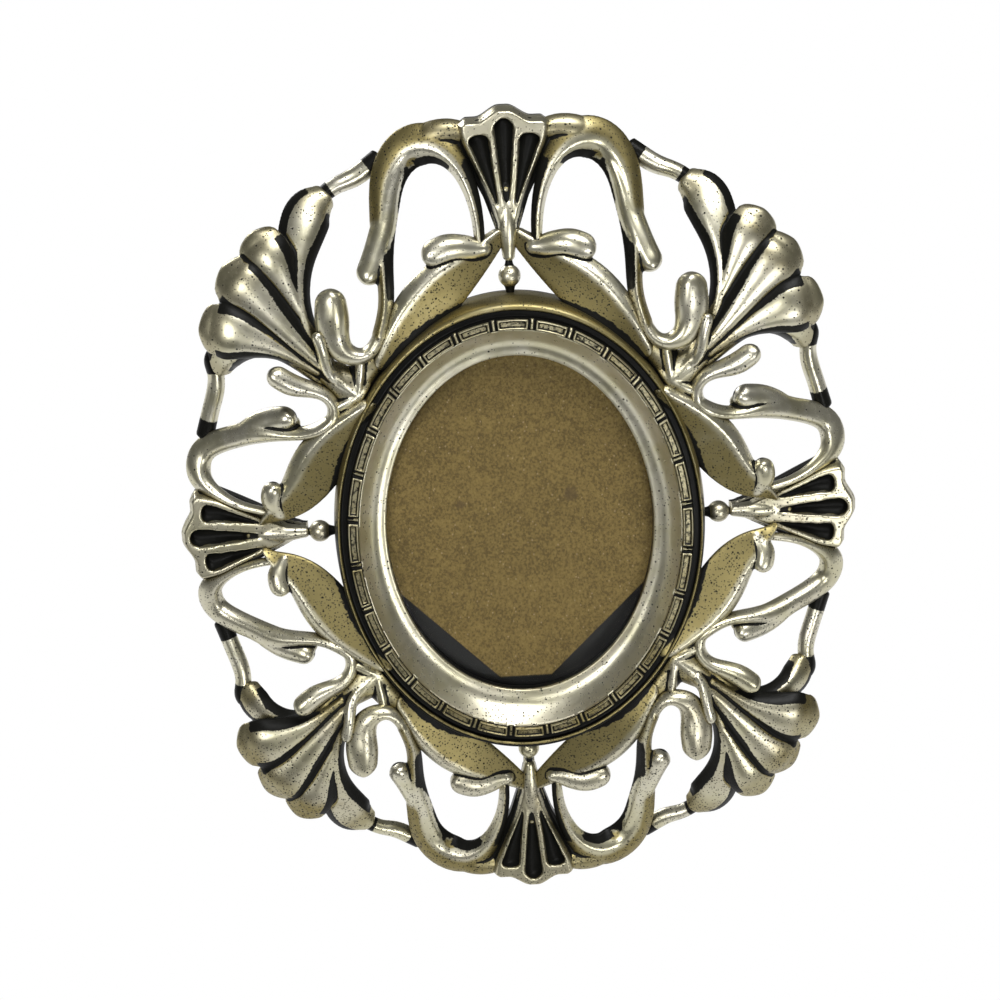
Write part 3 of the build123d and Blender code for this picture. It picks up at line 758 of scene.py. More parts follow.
# How black and how golden the moulding's parts are. Pairs are distances in millimetres, or shares of
# the way across the rim or the cove, between which a tone sets in.
mouldingTones = {
    "inside": 0.9,
    "barEdge": (0.36, 0.06),
    "line": 0.95,
    "lineStart": (0.75, 0.95),
    "lineEnd": (1.35, 1.10),
    "floor": 0.46,
    "floorStart": (0.85, 1.15),
    "spacer": 0.35,
    # sines of the turn between which the rim and the outer wall go black below: painted shade
    "lowerHalf": (0.45, -0.25),
    "rimStart": (0.30, 0.42),
    "rimGold": 0.8,
    "barGold": 0.45,
    "coveGold": 0.12,
    "sightGold": 0.25,
    "sightStart": (0.3, 0.0),
}


# The closed profile, from the sight's edge over the front to the back: half width, half height and
# height of each point, and the part of the moulding that it belongs to.
def mouldingProfile():
    sizes = moulding
    sight = np.array([sizes["sightWidth"], sizes["sightHeight"]]) / 2
    cove = np.array([sizes["coveWidth"], sizes["coveEndWidth"]])
    barInner = sight + cove
    barOuter = barInner + sizes["barBand"]
    grooveOuter = barOuter + sizes["grooveWidth"]
    ringOuter = np.array([ringHalfWidth, ringHalfHeight])
    rimTop = ringOuter - sizes["rimSlope"]
    rebate = sight + sizes["rebateOverlap"]
    edge, coveTop, rim = sizes["sightEdgeHeight"], sizes["coveTopHeight"], sizes["rimHeight"]
    foot, back = sizes["rimFootHeight"], sizes["backHeight"]
    lip, crown, bevel = sizes["lipRadius"], sizes["rimRadius"], sizes["bevel"]
    shelf = edge - sizes["sightLip"]
    floor = coveTop - sizes["grooveDepth"]
    crownTop = rim + sizes["rimLift"]
    rows, kinds = [], []

    def put(half, height, kind):
        rows.append((half[0], half[1], height))
        kinds.append(kind)

    for share in np.linspace(0, 1, 5)[:-1]:
        put(sight, shelf + share * (sizes["sightLip"] - lip), "inside")
    for angle in np.linspace(0, math.pi / 2, 5):
        put(sight + lip * (1 - math.cos(angle)), edge - lip + lip * math.sin(angle), "cove")
    for share in np.linspace(0, 1, 20)[1:]:
        bow = sizes["coveHollow"] * math.sin(math.pi * share) * (1 - sizes["coveSkew"] * share)
        put(sight + lip + (cove - lip) * share, edge + (coveTop - edge) * share - bow, "cove")
    for share in np.linspace(0, 1, 19):
        put(barInner + sizes["barBand"] * share, coveTop, "bar")
    for share in (0.35, 0.8):
        put(barOuter + bevel * share, coveTop - share * sizes["grooveDepth"], "groove")
    for share in np.linspace(0.08, 0.92, 5):
        put(barOuter + (grooveOuter - barOuter) * share, floor, "groove")
    for share in (0.3, 0.7):
        put(grooveOuter, floor + share * (rim - floor), "groove")
    for angle in np.linspace(0, math.pi / 2, 6):
        put(grooveOuter + crown * (1 - math.cos(angle)), crownTop - crown + crown * math.sin(angle), "rim")
    put(rimTop, rim, "rim")
    for share in np.linspace(0.15, 1, 8):
        put(rimTop + sizes["rimSlope"] * share ** 0.5, rim + (foot - rim) * share, "rim")
    for share in (0.35, 0.7, 0.97):
        put(ringOuter - sizes["backInset"] * share, foot + (back - foot) * share, "wall")
    put(ringOuter - sizes["backInset"] - sizes["backLip"], back, "wall")
    put(rebate + bevel, back, "wall")
    put(rebate, back + bevel, "wall")
    put(rebate, shelf - bevel / 2, "wall")
    put(rebate - bevel, shelf, "wall")
    return np.array(rows), np.array(kinds)


# How black and how golden each vertex is, from the part it belongs to and, on the bars, from its
# distances to the bar's edge and to the middle of the gap. The rim and the outer wall are painted
# black on the lower half of the oval as painted shade.
def mouldingPaint(rows, kinds, turn, toEdge, toGap):
    sizes, tones = moulding, mouldingTones
    black = np.zeros((len(rows), len(turn)))
    gold = np.zeros_like(black)
    isBar, isRim, isWall, isCove = (kinds == kind for kind in ("bar", "rim", "wall", "cove"))
    black[kinds == "inside"] = tones["inside"]
    black[kinds == "groove"] = 1.0
    line = tones["line"] * smoothStep(*tones["lineStart"], toEdge) * smoothStep(*tones["lineEnd"], toEdge)
    floor = tones["floor"] * smoothStep(*tones["floorStart"], toEdge)
    barBlack = np.max([smoothStep(*tones["barEdge"], toEdge), line, floor], axis=0)
    black[isBar] = np.where(toGap[isBar] < sizes["spacerWidth"] / 2, tones["spacer"], barBlack)
    # Painted shade: the rim and the outer wall go black on the lower half of the oval.
    lowerHalf = smoothStep(*tones["lowerHalf"], np.sin(turn))[None, :]
    rimShare = np.linspace(0, 1, isRim.sum())[:, None]
    black[isRim] = lowerHalf * smoothStep(*tones["rimStart"], rimShare)
    rebateHalf = sizes["sightWidth"] / 2 + sizes["rebateOverlap"]
    isOuterWall = (rows[isWall, 2] > sizes["backHeight"] + 1) & (rows[isWall, 0] > rebateHalf + 1)
    black[isWall] = np.where(isOuterWall[:, None], lowerHalf, 1.0)
    coveShare = np.linspace(0, 1, isCove.sum())[:, None]
    gold[isRim | isWall] = tones["rimGold"]
    gold[isBar] = tones["barGold"]
    gold[isCove] = tones["coveGold"] + tones["sightGold"] * smoothStep(*tones["sightStart"], coveShare)
    return black, gold


# The profile carried round the oval. The bars rise as a smooth step of the distance to their
# nearest edge, less a hollow further in, and a narrow spacer stands in each gap.
def makeMoulding():
    sizes = moulding
    rows, kinds = mouldingProfile()
    turn = np.linspace(0, 2 * math.pi, sizes["aroundSteps"], endpoint=False)
    across = np.cos(turn)[None, :] * rows[:, :1]
    upward = np.sin(turn)[None, :] * rows[:, 1:2]
    height = np.repeat(rows[:, 2:3], len(turn), 1)
    run = np.hypot(rows[:, :1] * np.sin(turn), rows[:, 1:2] * np.cos(turn))
    pitch = run * 2 * math.pi / sizes["barCount"]
    phase = (turn * sizes["barCount"] / (2 * math.pi) + 0.5) % 1
    toGap = np.minimum(phase, 1 - phase)[None, :] * pitch
    isBar = kinds == "bar"
    sideShare = np.linspace(0, 1, isBar.sum())
    toSide = np.minimum(sideShare, 1 - sideShare)[:, None] * sizes["barBand"]
    toEnd = toGap[isBar] - sizes["barGap"] / 2
    toEdge = np.minimum(toEnd, toSide)
    bar = smoothStep(0.0, sizes["barShoulder"], toEdge) * sizes["barRise"]
    bar -= smoothStep(*sizes["barFrame"], toEdge) * sizes["barHollow"]
    spacer = smoothStep(*sizes["spacerEdge"], toGap[isBar]) * sizes["spacerRise"]
    spacer *= smoothStep(0.0, sizes["spacerEnd"], toSide)
    height[isBar] += bar + spacer - sizes["gapDepth"] * smoothStep(*sizes["gapEdge"], toEnd)
    for waveHeight, count, start in sizes["coveWaves"]:
        height[kinds == "cove"] += (waveHeight * np.sin(turn * count + start))[None, :]
    black, gold = mouldingPaint(rows, kinds, turn, toEdge, toGap)
    ring, step = np.meshgrid(np.arange(len(rows)), np.arange(len(turn)), indexing="ij")
    first, second = ring * len(turn), (ring + 1) % len(rows) * len(turn)
    after = (step + 1) % len(turn)
    faces = np.stack([first + step, second + step, second + after, first + after], -1).reshape(-1, 4)
    points = np.stack([across, height, upward], -1).reshape(-1, 3)
    mesh = meshOf(Surface(points, faces, black.ravel(), gold.ravel()), "oval_moulding")
    setFinish(mesh, black.ravel(), gold.ravel())
    return mesh


addPiece(makeMoulding(), "oval_moulding", coveMaterial, "oval_ring")
print("moulding ready")

# Members of the upper right quarter. Each station gives the quarter turn, the way from ring to
# outline, the height, and the shares of the stock's width and depth, as the CAD members have them.


def plainPaint(amount):
    def paint(way, across):
        return np.zeros_like(way), np.full_like(way, amount)
    return paint


# The limbs that a piece lists by name, each with its crest and how golden it is.
def sideLimbs(sizes):
    return [
        limbSurface(sizes[name], sizes["width"], sizes["depth"], plainPaint(gold), crest, sizes["limbSides"])
        for name, crest, gold in sizes["limbs"]
    ]


scroll = {
    "width": 10.4,
    "depth": 7.4,
    "ribbonCrest": ((0, 0.25, 0.4, 0.6, 1), (0.3, 0.3, 0.1, -0.1, -0.1)),
    "ribbonSides": ((1.7, 0.75), (1.3, 1.1)),
    "ribbonEdge": 0.12,
    "limbs": (("finger", -0.15, 0.18), ("drop", 0.1, 0.05), ("shoulder", 0.0, 0.6)),
    "limbSides": ((1.8, 0.6), (1.6, 0.6)),
    "openingStart": (0.22, 0.27),
    "openingEnd": (0.93, 0.86),
    "openingEdge": ((0.22, 0.30, 0.42, 0.50, 0.58, 0.66, 0.75), (0.60, 0.50, 0.48, 0.42, 0.30, 0.15, 0.0)),
    "fanSide": (-0.10, -0.25),
    "fanEnd": (0.28, 0.20),
    # the outer side behind the crest turns golden: partly the leaf's tone, partly painted shade
    "goldAndShadeSide": (0.0, -0.35),
    "gold": 0.85,
    "leastGold": 0.1,
    "stations": (
        (0.925, 0.31, 0.50, 0.35, 0.6),
        (0.927, 0.44, 0.47, 0.40, 0.7),
        (0.917, 0.62, 0.40, 0.54, 0.8),
        (0.891, 0.78, 0.35, 0.88, 0.9),
        (0.855, 0.865, 0.30, 1.28, 1.0),
        (0.813, 0.875, 0.25, 1.32, 1.0),
        (0.768, 0.80, 0.28, 1.15, 1.0),
        (0.733, 0.66, 0.37, 0.95, 1.0),
        (0.702, 0.52, 0.48, 0.75, 1.0),
        (0.672, 0.37, 0.60, 0.56, 1.0),
        (0.634, 0.23, 0.70, 0.50, 1.0),
        (0.580, 0.14, 0.77, 0.52, 1.0),
    ),
    "finger": (
        (0.615, 0.19, 0.73, 0.36, 0.7),
        (0.576, 0.14, 0.77, 0.44, 0.8),
        (0.511, 0.14, 0.80, 0.50, 0.9),
        (0.483, 0.24, 0.82, 0.74, 0.95),
        (0.495, 0.35, 0.83, 0.98, 1.0),
        (0.519, 0.42, 0.85, 1.08, 1.1),
        (0.538, 0.475, 0.85, 1.00, 1.1),
    ),
    "shoulder": (
        (0.930, 0.875, 0.33, 0.62, 0.8),
        (0.900, 0.897, 0.31, 0.82, 0.9),
        (0.868, 0.895, 0.29, 1.00, 1.0),
        (0.835, 0.875, 0.25, 1.05, 0.9),
        (0.795, 0.840, 0.24, 0.95, 0.8),
    ),
    "drop": (
        (0.785, 0.810, 0.25, 0.60, 0.9),
        (0.752, 0.705, 0.32, 0.70, 1.0),
        (0.722, 0.600, 0.41, 0.78, 1.0),
        (0.690, 0.515, 0.51, 0.82, 1.0),
        (0.658, 0.452, 0.58, 0.84, 1.0),
        (0.643, 0.432, 0.61, 0.82, 1.0),
    ),
}


# Black on the opening side from the lobe down to the moulding, black on the fan side before the lobe,
# and a golden tone behind the crest that is partly the leaf's tone and partly painted shade.
def ribbonPaint(way, across):
    softness = 0.05
    turned = smoothStep(*scroll["openingStart"], way) * smoothStep(*scroll["openingEnd"], way)
    edge = np.interp(way, *scroll["openingEdge"])
    openingSide = smoothStep(edge - softness, edge + softness, across) * turned
    fanSide = smoothStep(*scroll["fanSide"], across) * smoothStep(*scroll["fanEnd"], way)
    # Gold behind the crest: partly the leaf's tone and partly painted shade of the dim air above.
    gold = scroll["gold"] * smoothStep(*scroll["goldAndShadeSide"], across) + scroll["leastGold"]
    return np.maximum(openingSide, fanSide), gold


def makeScroll():
    ribbon = limbSurface(scroll["stations"], scroll["width"], scroll["depth"], ribbonPaint,
                         scroll["ribbonCrest"], scroll["ribbonSides"], scroll["ribbonEdge"], steps=170)
    return castMesh([ribbon, *sideLimbs(scroll)], "scroll")


sideScroll = {
    "width": 9.4,
    "depth": 7.2,
    "ribbonCrest": ((0, 0.4, 1), (-0.1, -0.25, -0.1)),
    "ribbonSides": ((1.6, 0.6), (1.7, 0.7)),
    "ribbonEdge": 0.12,
    "ribbonGold": 0.15,
    "limbs": (("finger", 0.1, 0.12), ("hook", 0.0, 0.05)),
    "limbSides": ((1.7, 0.6), (1.7, 0.6)),
    "stations": (
        (0.052, 0.40, 0.53, 0.32, 0.6),
        (0.058, 0.57, 0.48, 0.32, 0.7),
        (0.072, 0.74, 0.40, 0.50, 0.8),
        (0.100, 0.88, 0.30, 0.86, 1.0),
        (0.134, 0.88, 0.25, 0.90, 1.0),
        (0.162, 0.79, 0.30, 0.90, 1.0),
        (0.191, 0.65, 0.42, 0.88, 1.0),
        (0.217, 0.53, 0.53, 0.92, 1.0),
        (0.234, 0.38, 0.61, 0.60, 1.0),
        (0.258, 0.24, 0.67, 0.50, 1.0),
        (0.300, 0.14, 0.72, 0.52, 1.0),
        (0.330, 0.11, 0.73, 0.40, 0.8),
    ),
    "finger": (
        (0.270, 0.20, 0.67, 0.40, 0.7),
        (0.303, 0.13, 0.72, 0.46, 0.8),
        (0.345, 0.13, 0.73, 0.50, 0.9),
        (0.366, 0.21, 0.77, 0.50, 0.9),
        (0.358, 0.34, 0.82, 0.66, 0.9),
        (0.350, 0.44, 0.86, 0.80, 0.95),
        (0.350, 0.52, 0.88, 0.80, 0.95),
    ),
    "hook": (
        (0.200, 0.62, 0.45, 0.80, 0.9),
        (0.219, 0.56, 0.49, 0.95, 1.0),
        (0.248, 0.46, 0.56, 1.00, 1.0),
        (0.264, 0.40, 0.61, 0.92, 1.0),
    ),
    "fill": ((76.8, 17.4, 39.6), (6.0, 3.0, 3.8), 0.2),
}


def makeSideScroll():
    sizes = sideScroll
    ribbon = limbSurface(sizes["stations"], sizes["width"], sizes["depth"], plainPaint(sizes["ribbonGold"]),
                         sizes["ribbonCrest"], sizes["ribbonSides"], sizes["ribbonEdge"], steps=150)
    return castMesh([ribbon, *sideLimbs(sizes), ballSurface(*sizes["fill"])], "side_scroll")


# What both kinds of leaf share. The hollow side is 1 where the moulding lies to the right of a
# walk along the leaf, and -1 where it lies to the left.
leafShape = {
    "crest": -0.56,
    "sides": ((1.5, 0.7), (1.0, 1.35)),
    "edge": 0.26,
    "earGold": 0.12,
    "facetStart": (-0.52, -0.25),
    "facetGold": 0.75,
    "leastGold": 0.15,
    "ringEdge": ((0.0, 0.35, 0.5, 0.68, 0.85, 1.0), (1.3, 1.1, 0.74, 0.38, 0.14, 0.0)),
    "ringEdgeWidth": (-0.05, 0.08),
}
leafPiece = {
    "hollowSide": 1,
    "width": 18.0,
    "depth": 8.0,
    "stations": (
        (0.971, 0.300, 0.43, 0.34, 0.6),
        (0.894, 0.205, 0.52, 0.66, 0.85),
        (0.812, 0.148, 0.60, 0.94, 1.0),
        (0.722, 0.096, 0.67, 0.98, 1.0),
        (0.640, 0.054, 0.72, 0.82, 1.0),
        (0.555, 0.020, 0.73, 0.55, 0.9),
    ),
    "earWidth": 15.0,
    "earDepth": 7.4,
    "ear": (
        (0.925, 0.262, 0.50, 0.40, 0.80),
        (0.901, 0.272, 0.52, 0.54, 0.90),
        (0.868, 0.298, 0.56, 0.62, 1.00),
        (0.835, 0.318, 0.59, 0.66, 1.05),
        (0.808, 0.320, 0.60, 0.64, 1.05),
    ),
}
sideLeafPiece = {
    "hollowSide": -1,
    "width": 17.0,
    "depth": 8.0,
    "stations": (
        (0.030, 0.46, 0.52, 0.12, 0.5),
        (0.040, 0.43, 0.54, 0.24, 0.6),
        (0.064, 0.34, 0.57, 0.54, 0.8),
        (0.112, 0.22, 0.60, 0.86, 1.0),
        (0.188, 0.13, 0.66, 1.05, 1.0),
        (0.285, 0.03, 0.71, 0.95, 1.0),
        (0.383, -0.06, 0.74, 0.65, 1.0),
    ),
    "earWidth": 15.0,
    "earDepth": 7.2,
    "ear": (
        (0.055, 0.35, 0.55, 0.30, 0.7),
        (0.067, 0.37, 0.57, 0.42, 0.8),
        (0.084, 0.395, 0.61, 0.50, 0.9),
        (0.103, 0.395, 0.64, 0.50, 0.9),
    ),
}


# A leaf with a raised crest and a hollow golden facet towards the moulding, black where it meets
# the moulding, ending in a rolled ear.
def makeLeaf(sizes, name):
    side = sizes["hollowSide"]

    def paint(way, across):
        facet = smoothStep(*leafShape["facetStart"], across * side)
        gold = leafShape["leastGold"] + leafShape["facetGold"] * facet
        ringEdge = np.interp(way, *leafShape["ringEdge"])
        first, last = leafShape["ringEdgeWidth"]
        return smoothStep(ringEdge + first, ringEdge + last, across * side), gold

    blade = limbSurface(sizes["stations"], sizes["width"], sizes["depth"], paint, leafShape["crest"] * side,
                        leafShape["sides"][::side], leafShape["edge"])
    ear = limbSurface(sizes["ear"], sizes["earWidth"], sizes["earDepth"], plainPaint(leafShape["earGold"]))
    return castMesh([blade, ear], name)


linkBars = {
    "width": 6.0,
    "depth": 5.6,
    "sides": ((1.6, 0.6), (1.6, 0.6)),
    "caps": (0.4, 0.4),
    "collarStart": (0.24, 0.168),
    "collarEnd": (0.76, 0.832),
    "gold": 0.05,
    "stations": (
        (0.630, 0.91, 0.26, 0.85, 1.0),
        (0.638, 0.91, 0.25, 0.90, 1.0),
        (0.670, 0.90, 0.23, 0.95, 1.0),
        (0.697, 0.88, 0.20, 1.05, 1.0),
        (0.727, 0.88, 0.17, 1.10, 1.0),
        (0.756, 0.895, 0.14, 1.05, 1.0),
    ),
    "sideStations": (
        (0.305, 0.93, 0.32, 0.90, 1.0),
        (0.299, 0.93, 0.32, 0.95, 1.0),
        (0.278, 0.89, 0.30, 0.95, 1.0),
        (0.251, 0.86, 0.28, 1.00, 1.0),
        (0.216, 0.86, 0.25, 1.00, 1.0),
        (0.166, 0.87, 0.22, 1.05, 1.0),
    ),
}


def collarPaint(way, across):
    black = np.maximum(smoothStep(*linkBars["collarStart"], way), smoothStep(*linkBars["collarEnd"], way))
    return black, np.full_like(way, linkBars["gold"])


def makeLink(stations, name):
    bar = limbSurface(stations, linkBars["width"], linkBars["depth"], collarPaint, sides=linkBars["sides"],
                      caps=linkBars["caps"])
    return castMesh([bar], name)


shellPiece = {
    "lobeWidth": 13.0,
    "lobeDepth": 7.6,
    "lobeSides": ((1.9, 0.75), (1.9, 0.75)),
    "lobeEdge": 0.05,
    "lobeCrests": (-0.2, 0.0, 0.0, 0.15, 0.25),
    "lobeRootCap": 0.5,
    "lobeEndCaps": (0.5, 0.6, 0.6, 0.6, 0.5),
    "lobes": (
        (
            (0.414, 0.22, 0.67, 0.42, 0.80),
            (0.444, 0.42, 0.68, 0.50, 0.90),
            (0.486, 0.62, 0.65, 0.60, 1.00),
            (0.534, 0.77, 0.55, 0.92, 1.05),
            (0.578, 0.86, 0.42, 1.20, 1.10),
            (0.612, 0.90, 0.32, 1.10, 1.00),
            (0.636, 0.90, 0.27, 0.72, 0.90),
        ),
        (
            (0.448, 0.35, 0.66, 0.26, 0.70),
            (0.480, 0.62, 0.68, 0.56, 0.90),
            (0.500, 0.82, 0.67, 1.05, 1.10),
            (0.508, 0.95, 0.65, 1.25, 1.00),
            (0.510, 1.00, 0.62, 1.16, 0.80),
        ),
        (
            (0.420, 0.10, 0.70, 0.40, 0.90),
            (0.426, 0.43, 0.75, 0.56, 1.00),
            (0.437, 0.70, 0.74, 1.02, 1.10),
            (0.442, 0.90, 0.73, 1.36, 1.08),
            (0.443, 0.98, 0.71, 1.42, 0.98),
            (0.443, 1.02, 0.67, 1.28, 0.80),
        ),
        (
            (0.404, 0.32, 0.72, 0.36, 0.80),
            (0.394, 0.62, 0.75, 0.76, 1.00),
            (0.379, 0.80, 0.77, 1.26, 1.12),
            (0.366, 0.92, 0.77, 1.44, 1.02),
            (0.358, 0.98, 0.74, 1.30, 0.80),
        ),
        (
            (0.386, 0.27, 0.67, 0.34, 0.80),
            (0.388, 0.44, 0.68, 0.36, 0.85),
            (0.378, 0.63, 0.65, 0.44, 0.90),
            (0.349, 0.78, 0.55, 0.70, 1.00),
            (0.318, 0.86, 0.42, 0.86, 1.00),
            (0.291, 0.88, 0.33, 0.72, 0.80),
        ),
    ),
    "webLow": 14.0,
    "webHigh": 19.0,
    "web": (
        (0.411, 0.34), (0.546, 0.91), (0.541, 0.99), (0.480, 1.02), (0.463, 1.04),
        (0.405, 1.01), (0.387, 1.02), (0.336, 0.96), (0.376, 0.65),
    ),
    "rootCaps": (0.15, 1.0),
    "rootWidth": 13.0,
    "rootDepth": 8.6,
    "root": (
        (0.418, 0.02, 0.66, 1.20, 0.9),
        (0.414, 0.10, 0.68, 1.05, 0.9),
        (0.410, 0.24, 0.69, 0.80, 0.8),
        (0.408, 0.37, 0.69, 0.50, 0.6),
    ),
    "collarCaps": (0.4, 0.4),
    "collarGold": 0.55,
    "collar": (
        (0.610, 0.055, 0.68, 0.50, 0.8),
        (0.540, 0.065, 0.66, 0.72, 0.9),
        (0.460, 0.075, 0.65, 0.82, 0.9),
        (0.390, 0.065, 0.66, 0.78, 0.9),
        (0.320, 0.050, 0.67, 0.55, 0.8),
    ),
    "ridgeGold": 0.1,
    "ridgeWidth": 3.4,
    "ridges": (
        (
            (0.505, 0.150, 0.76, 0.90, 1.0),
            (0.458, 0.085, 0.76, 1.00, 1.0),
            (0.418, 0.040, 0.75, 0.70, 0.9),
        ),
        (
            (0.412, 0.300, 0.75, 0.90, 1.0),
            (0.413, 0.150, 0.77, 1.10, 1.0),
            (0.415, 0.040, 0.75, 0.70, 0.9),
        ),
        (
            (0.345, 0.135, 0.75, 0.90, 1.0),
            (0.380, 0.080, 0.76, 1.00, 1.0),
            (0.412, 0.040, 0.75, 0.70, 0.9),
        ),
    ),
    "stubWidth": 3.8,
    "stub": (
        (0.412, 0.22, 0.79, 0.80, 1.0),
        (0.419, 0.26, 0.81, 1.00, 1.0),
        (0.449, 0.35, 0.87, 1.05, 1.0),
        (0.468, 0.42, 0.88, 1.15, 1.0),
    ),
}


# How black the furrows are and how golden the lobes and the root. Pairs are the ways along the
# member between which a tone sets in or ends.
shellTones = {
    "furrowEdge": 0.44,
    "furrowThinning": 0.15,
    "furrowThins": (0.4, 1.0),
    "furrowSoftness": 0.12,
    "furrowStart": (0.12, 0.3),
    "furrowEnd": (1.0, 0.93),
    "lobeGold": 0.20,
    "lobeRootGold": 0.3,
    "lobeRoot": (0.5, 0.1),
    "lobeEndGold": 0.30,
    "lobeEnd": (0.80, 0.95),
    "rootGold": 0.35,
    "rootEndGold": 0.3,
    "rootEnd": (0.6, 0.0),
}


# Black along both edges of a lobe, where the furrows run, in bands that thin towards its end.
def lobePaint(way, across):
    tones = shellTones
    edge = tones["furrowEdge"] + tones["furrowThinning"] * smoothStep(*tones["furrowThins"], way)
    black = smoothStep(edge, edge + tones["furrowSoftness"], np.abs(across))
    black = black * smoothStep(*tones["furrowEnd"], way) * smoothStep(*tones["furrowStart"], way)
    gold = tones["lobeGold"] + tones["lobeRootGold"] * smoothStep(*tones["lobeRoot"], way)
    gold = gold + tones["lobeEndGold"] * smoothStep(*tones["lobeEnd"], way)
    return black, gold


def rootPaint(way, across):
    gold = shellTones["rootGold"] + shellTones["rootEndGold"] * smoothStep(*shellTones["rootEnd"], way)
    return np.zeros_like(way), gold


def makeShell():
    shell = shellPiece
    parts = []
    for lobe, crest, endCap in zip(shell["lobes"], shell["lobeCrests"], shell["lobeEndCaps"]):
        parts.append(limbSurface(lobe, shell["lobeWidth"], shell["lobeDepth"], lobePaint, crest,
                                 shell["lobeSides"], shell["lobeEdge"], caps=(shell["lobeRootCap"], endCap)))
    corners = np.asarray(shell["web"])
    flat = stationPoints(np.column_stack([corners, np.zeros(len(corners))]))[:, [0, 2]]
    parts.append(slabSurface(flat, shell["webLow"], shell["webHigh"]))
    width, depth = shell["rootWidth"], shell["rootDepth"]
    parts.append(limbSurface(shell["root"], width, depth, rootPaint, caps=shell["rootCaps"]))
    collarPlain = plainPaint(shell["collarGold"])
    parts.append(limbSurface(shell["collar"], width, depth, collarPlain, caps=shell["collarCaps"]))
    ridgePaint = plainPaint(shell["ridgeGold"])
    for ridge in shell["ridges"]:
        parts.append(limbSurface(ridge, shell["ridgeWidth"], shell["ridgeWidth"], ridgePaint))
    parts.append(limbSurface(shell["stub"], shell["stubWidth"], shell["stubWidth"], plainPaint(0.0)))
    return castMesh(parts, "shell")


quarterMeshes = {
    "scroll": makeScroll(),
    "side_scroll": makeSideScroll(),
    "leaf": makeLeaf(leafPiece, "leaf"),
    "side_leaf": makeLeaf(sideLeafPiece, "side_leaf"),
    "shell": makeShell(),
    "link": makeLink(linkBars["stations"], "link"),
    "side_link": makeLink(linkBars["sideStations"], "side_link"),
}
for kind, mesh in quarterMeshes.items():
    for quarter, (acrossSign, upwardSign) in quarters.items():
        name = f"{kind}_{quarter}"
        copy = mirroredMesh(mesh, "cast_" + name, acrossSign, upwardSign)
        addPiece(copy, "cast_" + name, leafMaterial, name)
print("quarters ready")

# Fans and beads

# What all fans share, in millimetres. A flute has its place as a share of the half width, its half
# widths at shares of the length, and the share of the length where it ends.
fan = {
    "steps": (130, 90),
    "sideSmoothing": 17,
    "backHeight": 6.5,
    "webHeight": 11.0,
    "webSpan": (0.06, 0.86, 24),
    "frontHeight": 15.2,
    "flange": 3.6,
    "tipDrop": 3.6,
    "tipSpan": (0.08, 0.62),
    "cornerDrop": 1.6,
    "cornerSpan": (0.80, 1.0),
    "edgeDrop": 3.4,
    "edgeReach": 1.9,
    "edgePower": 1.5,
    "rootDrop": 0.8,
    "rootSpan": 0.5,
    "fluteDepth": 3.6,
    "fluteFullHalf": 2.2,
    "flutes": (
        (0.0, ((0.20, 0.3), (0.45, 1.3), (0.70, 2.6), (0.88, 3.4)), 0.925),
        (0.59, ((0.34, 0.3), (0.52, 1.4), (0.72, 2.8), (0.83, 3.4)), 0.865),
    ),
    "fluteBlack": (0.12, 0.35),
    "fluteBlackHalf": (0.25, 0.8),
    "edgeBlack": (0.8, 0.2),
    "edgeBlackStart": (0.25, 0.45),
    "tipClear": 1.5,
    "gold": 0.30,
    "stemWidth": 6.2,
    "stemHeight": 12.6,
    "stemShare": 0.5,
    "stemSink": 1.0,
    "beadRadius": 3.7,
    "beadOffset": 5.2,
    "beadGold": 0.3,
    "neckRadius": 2.0,
    "neckSink": 1.5,
}
uprightFan = {
    "turned": False,
    "tip": halfHeight,
    "ringEdge": ringHalfHeight,
    "length": 49.0,
    "width": 29.6,
    "sides": ((0.0, 0.12), (0.1, 0.16), (0.2, 0.22), (0.41, 0.4), (0.61, 0.68), (0.82, 0.94), (0.93, 1.0)),
}
sidewaysFan = {
    "turned": True,
    "tip": halfWidth,
    "ringEdge": ringHalfWidth,
    "length": 42.5,
    "width": 31.0,
    "sides": ((0.0, 0.11), (0.1, 0.18), (0.2, 0.3), (0.33, 0.45), (0.52, 0.68), (0.73, 0.92), (0.9, 1.0)),
}


# Across, height and way along, laid on the frame: upward for a top fan, sideways for a side fan.
def laidOut(across, height, along, turned):
    return np.stack([along, height, -across] if turned else [across, height, along], -1)


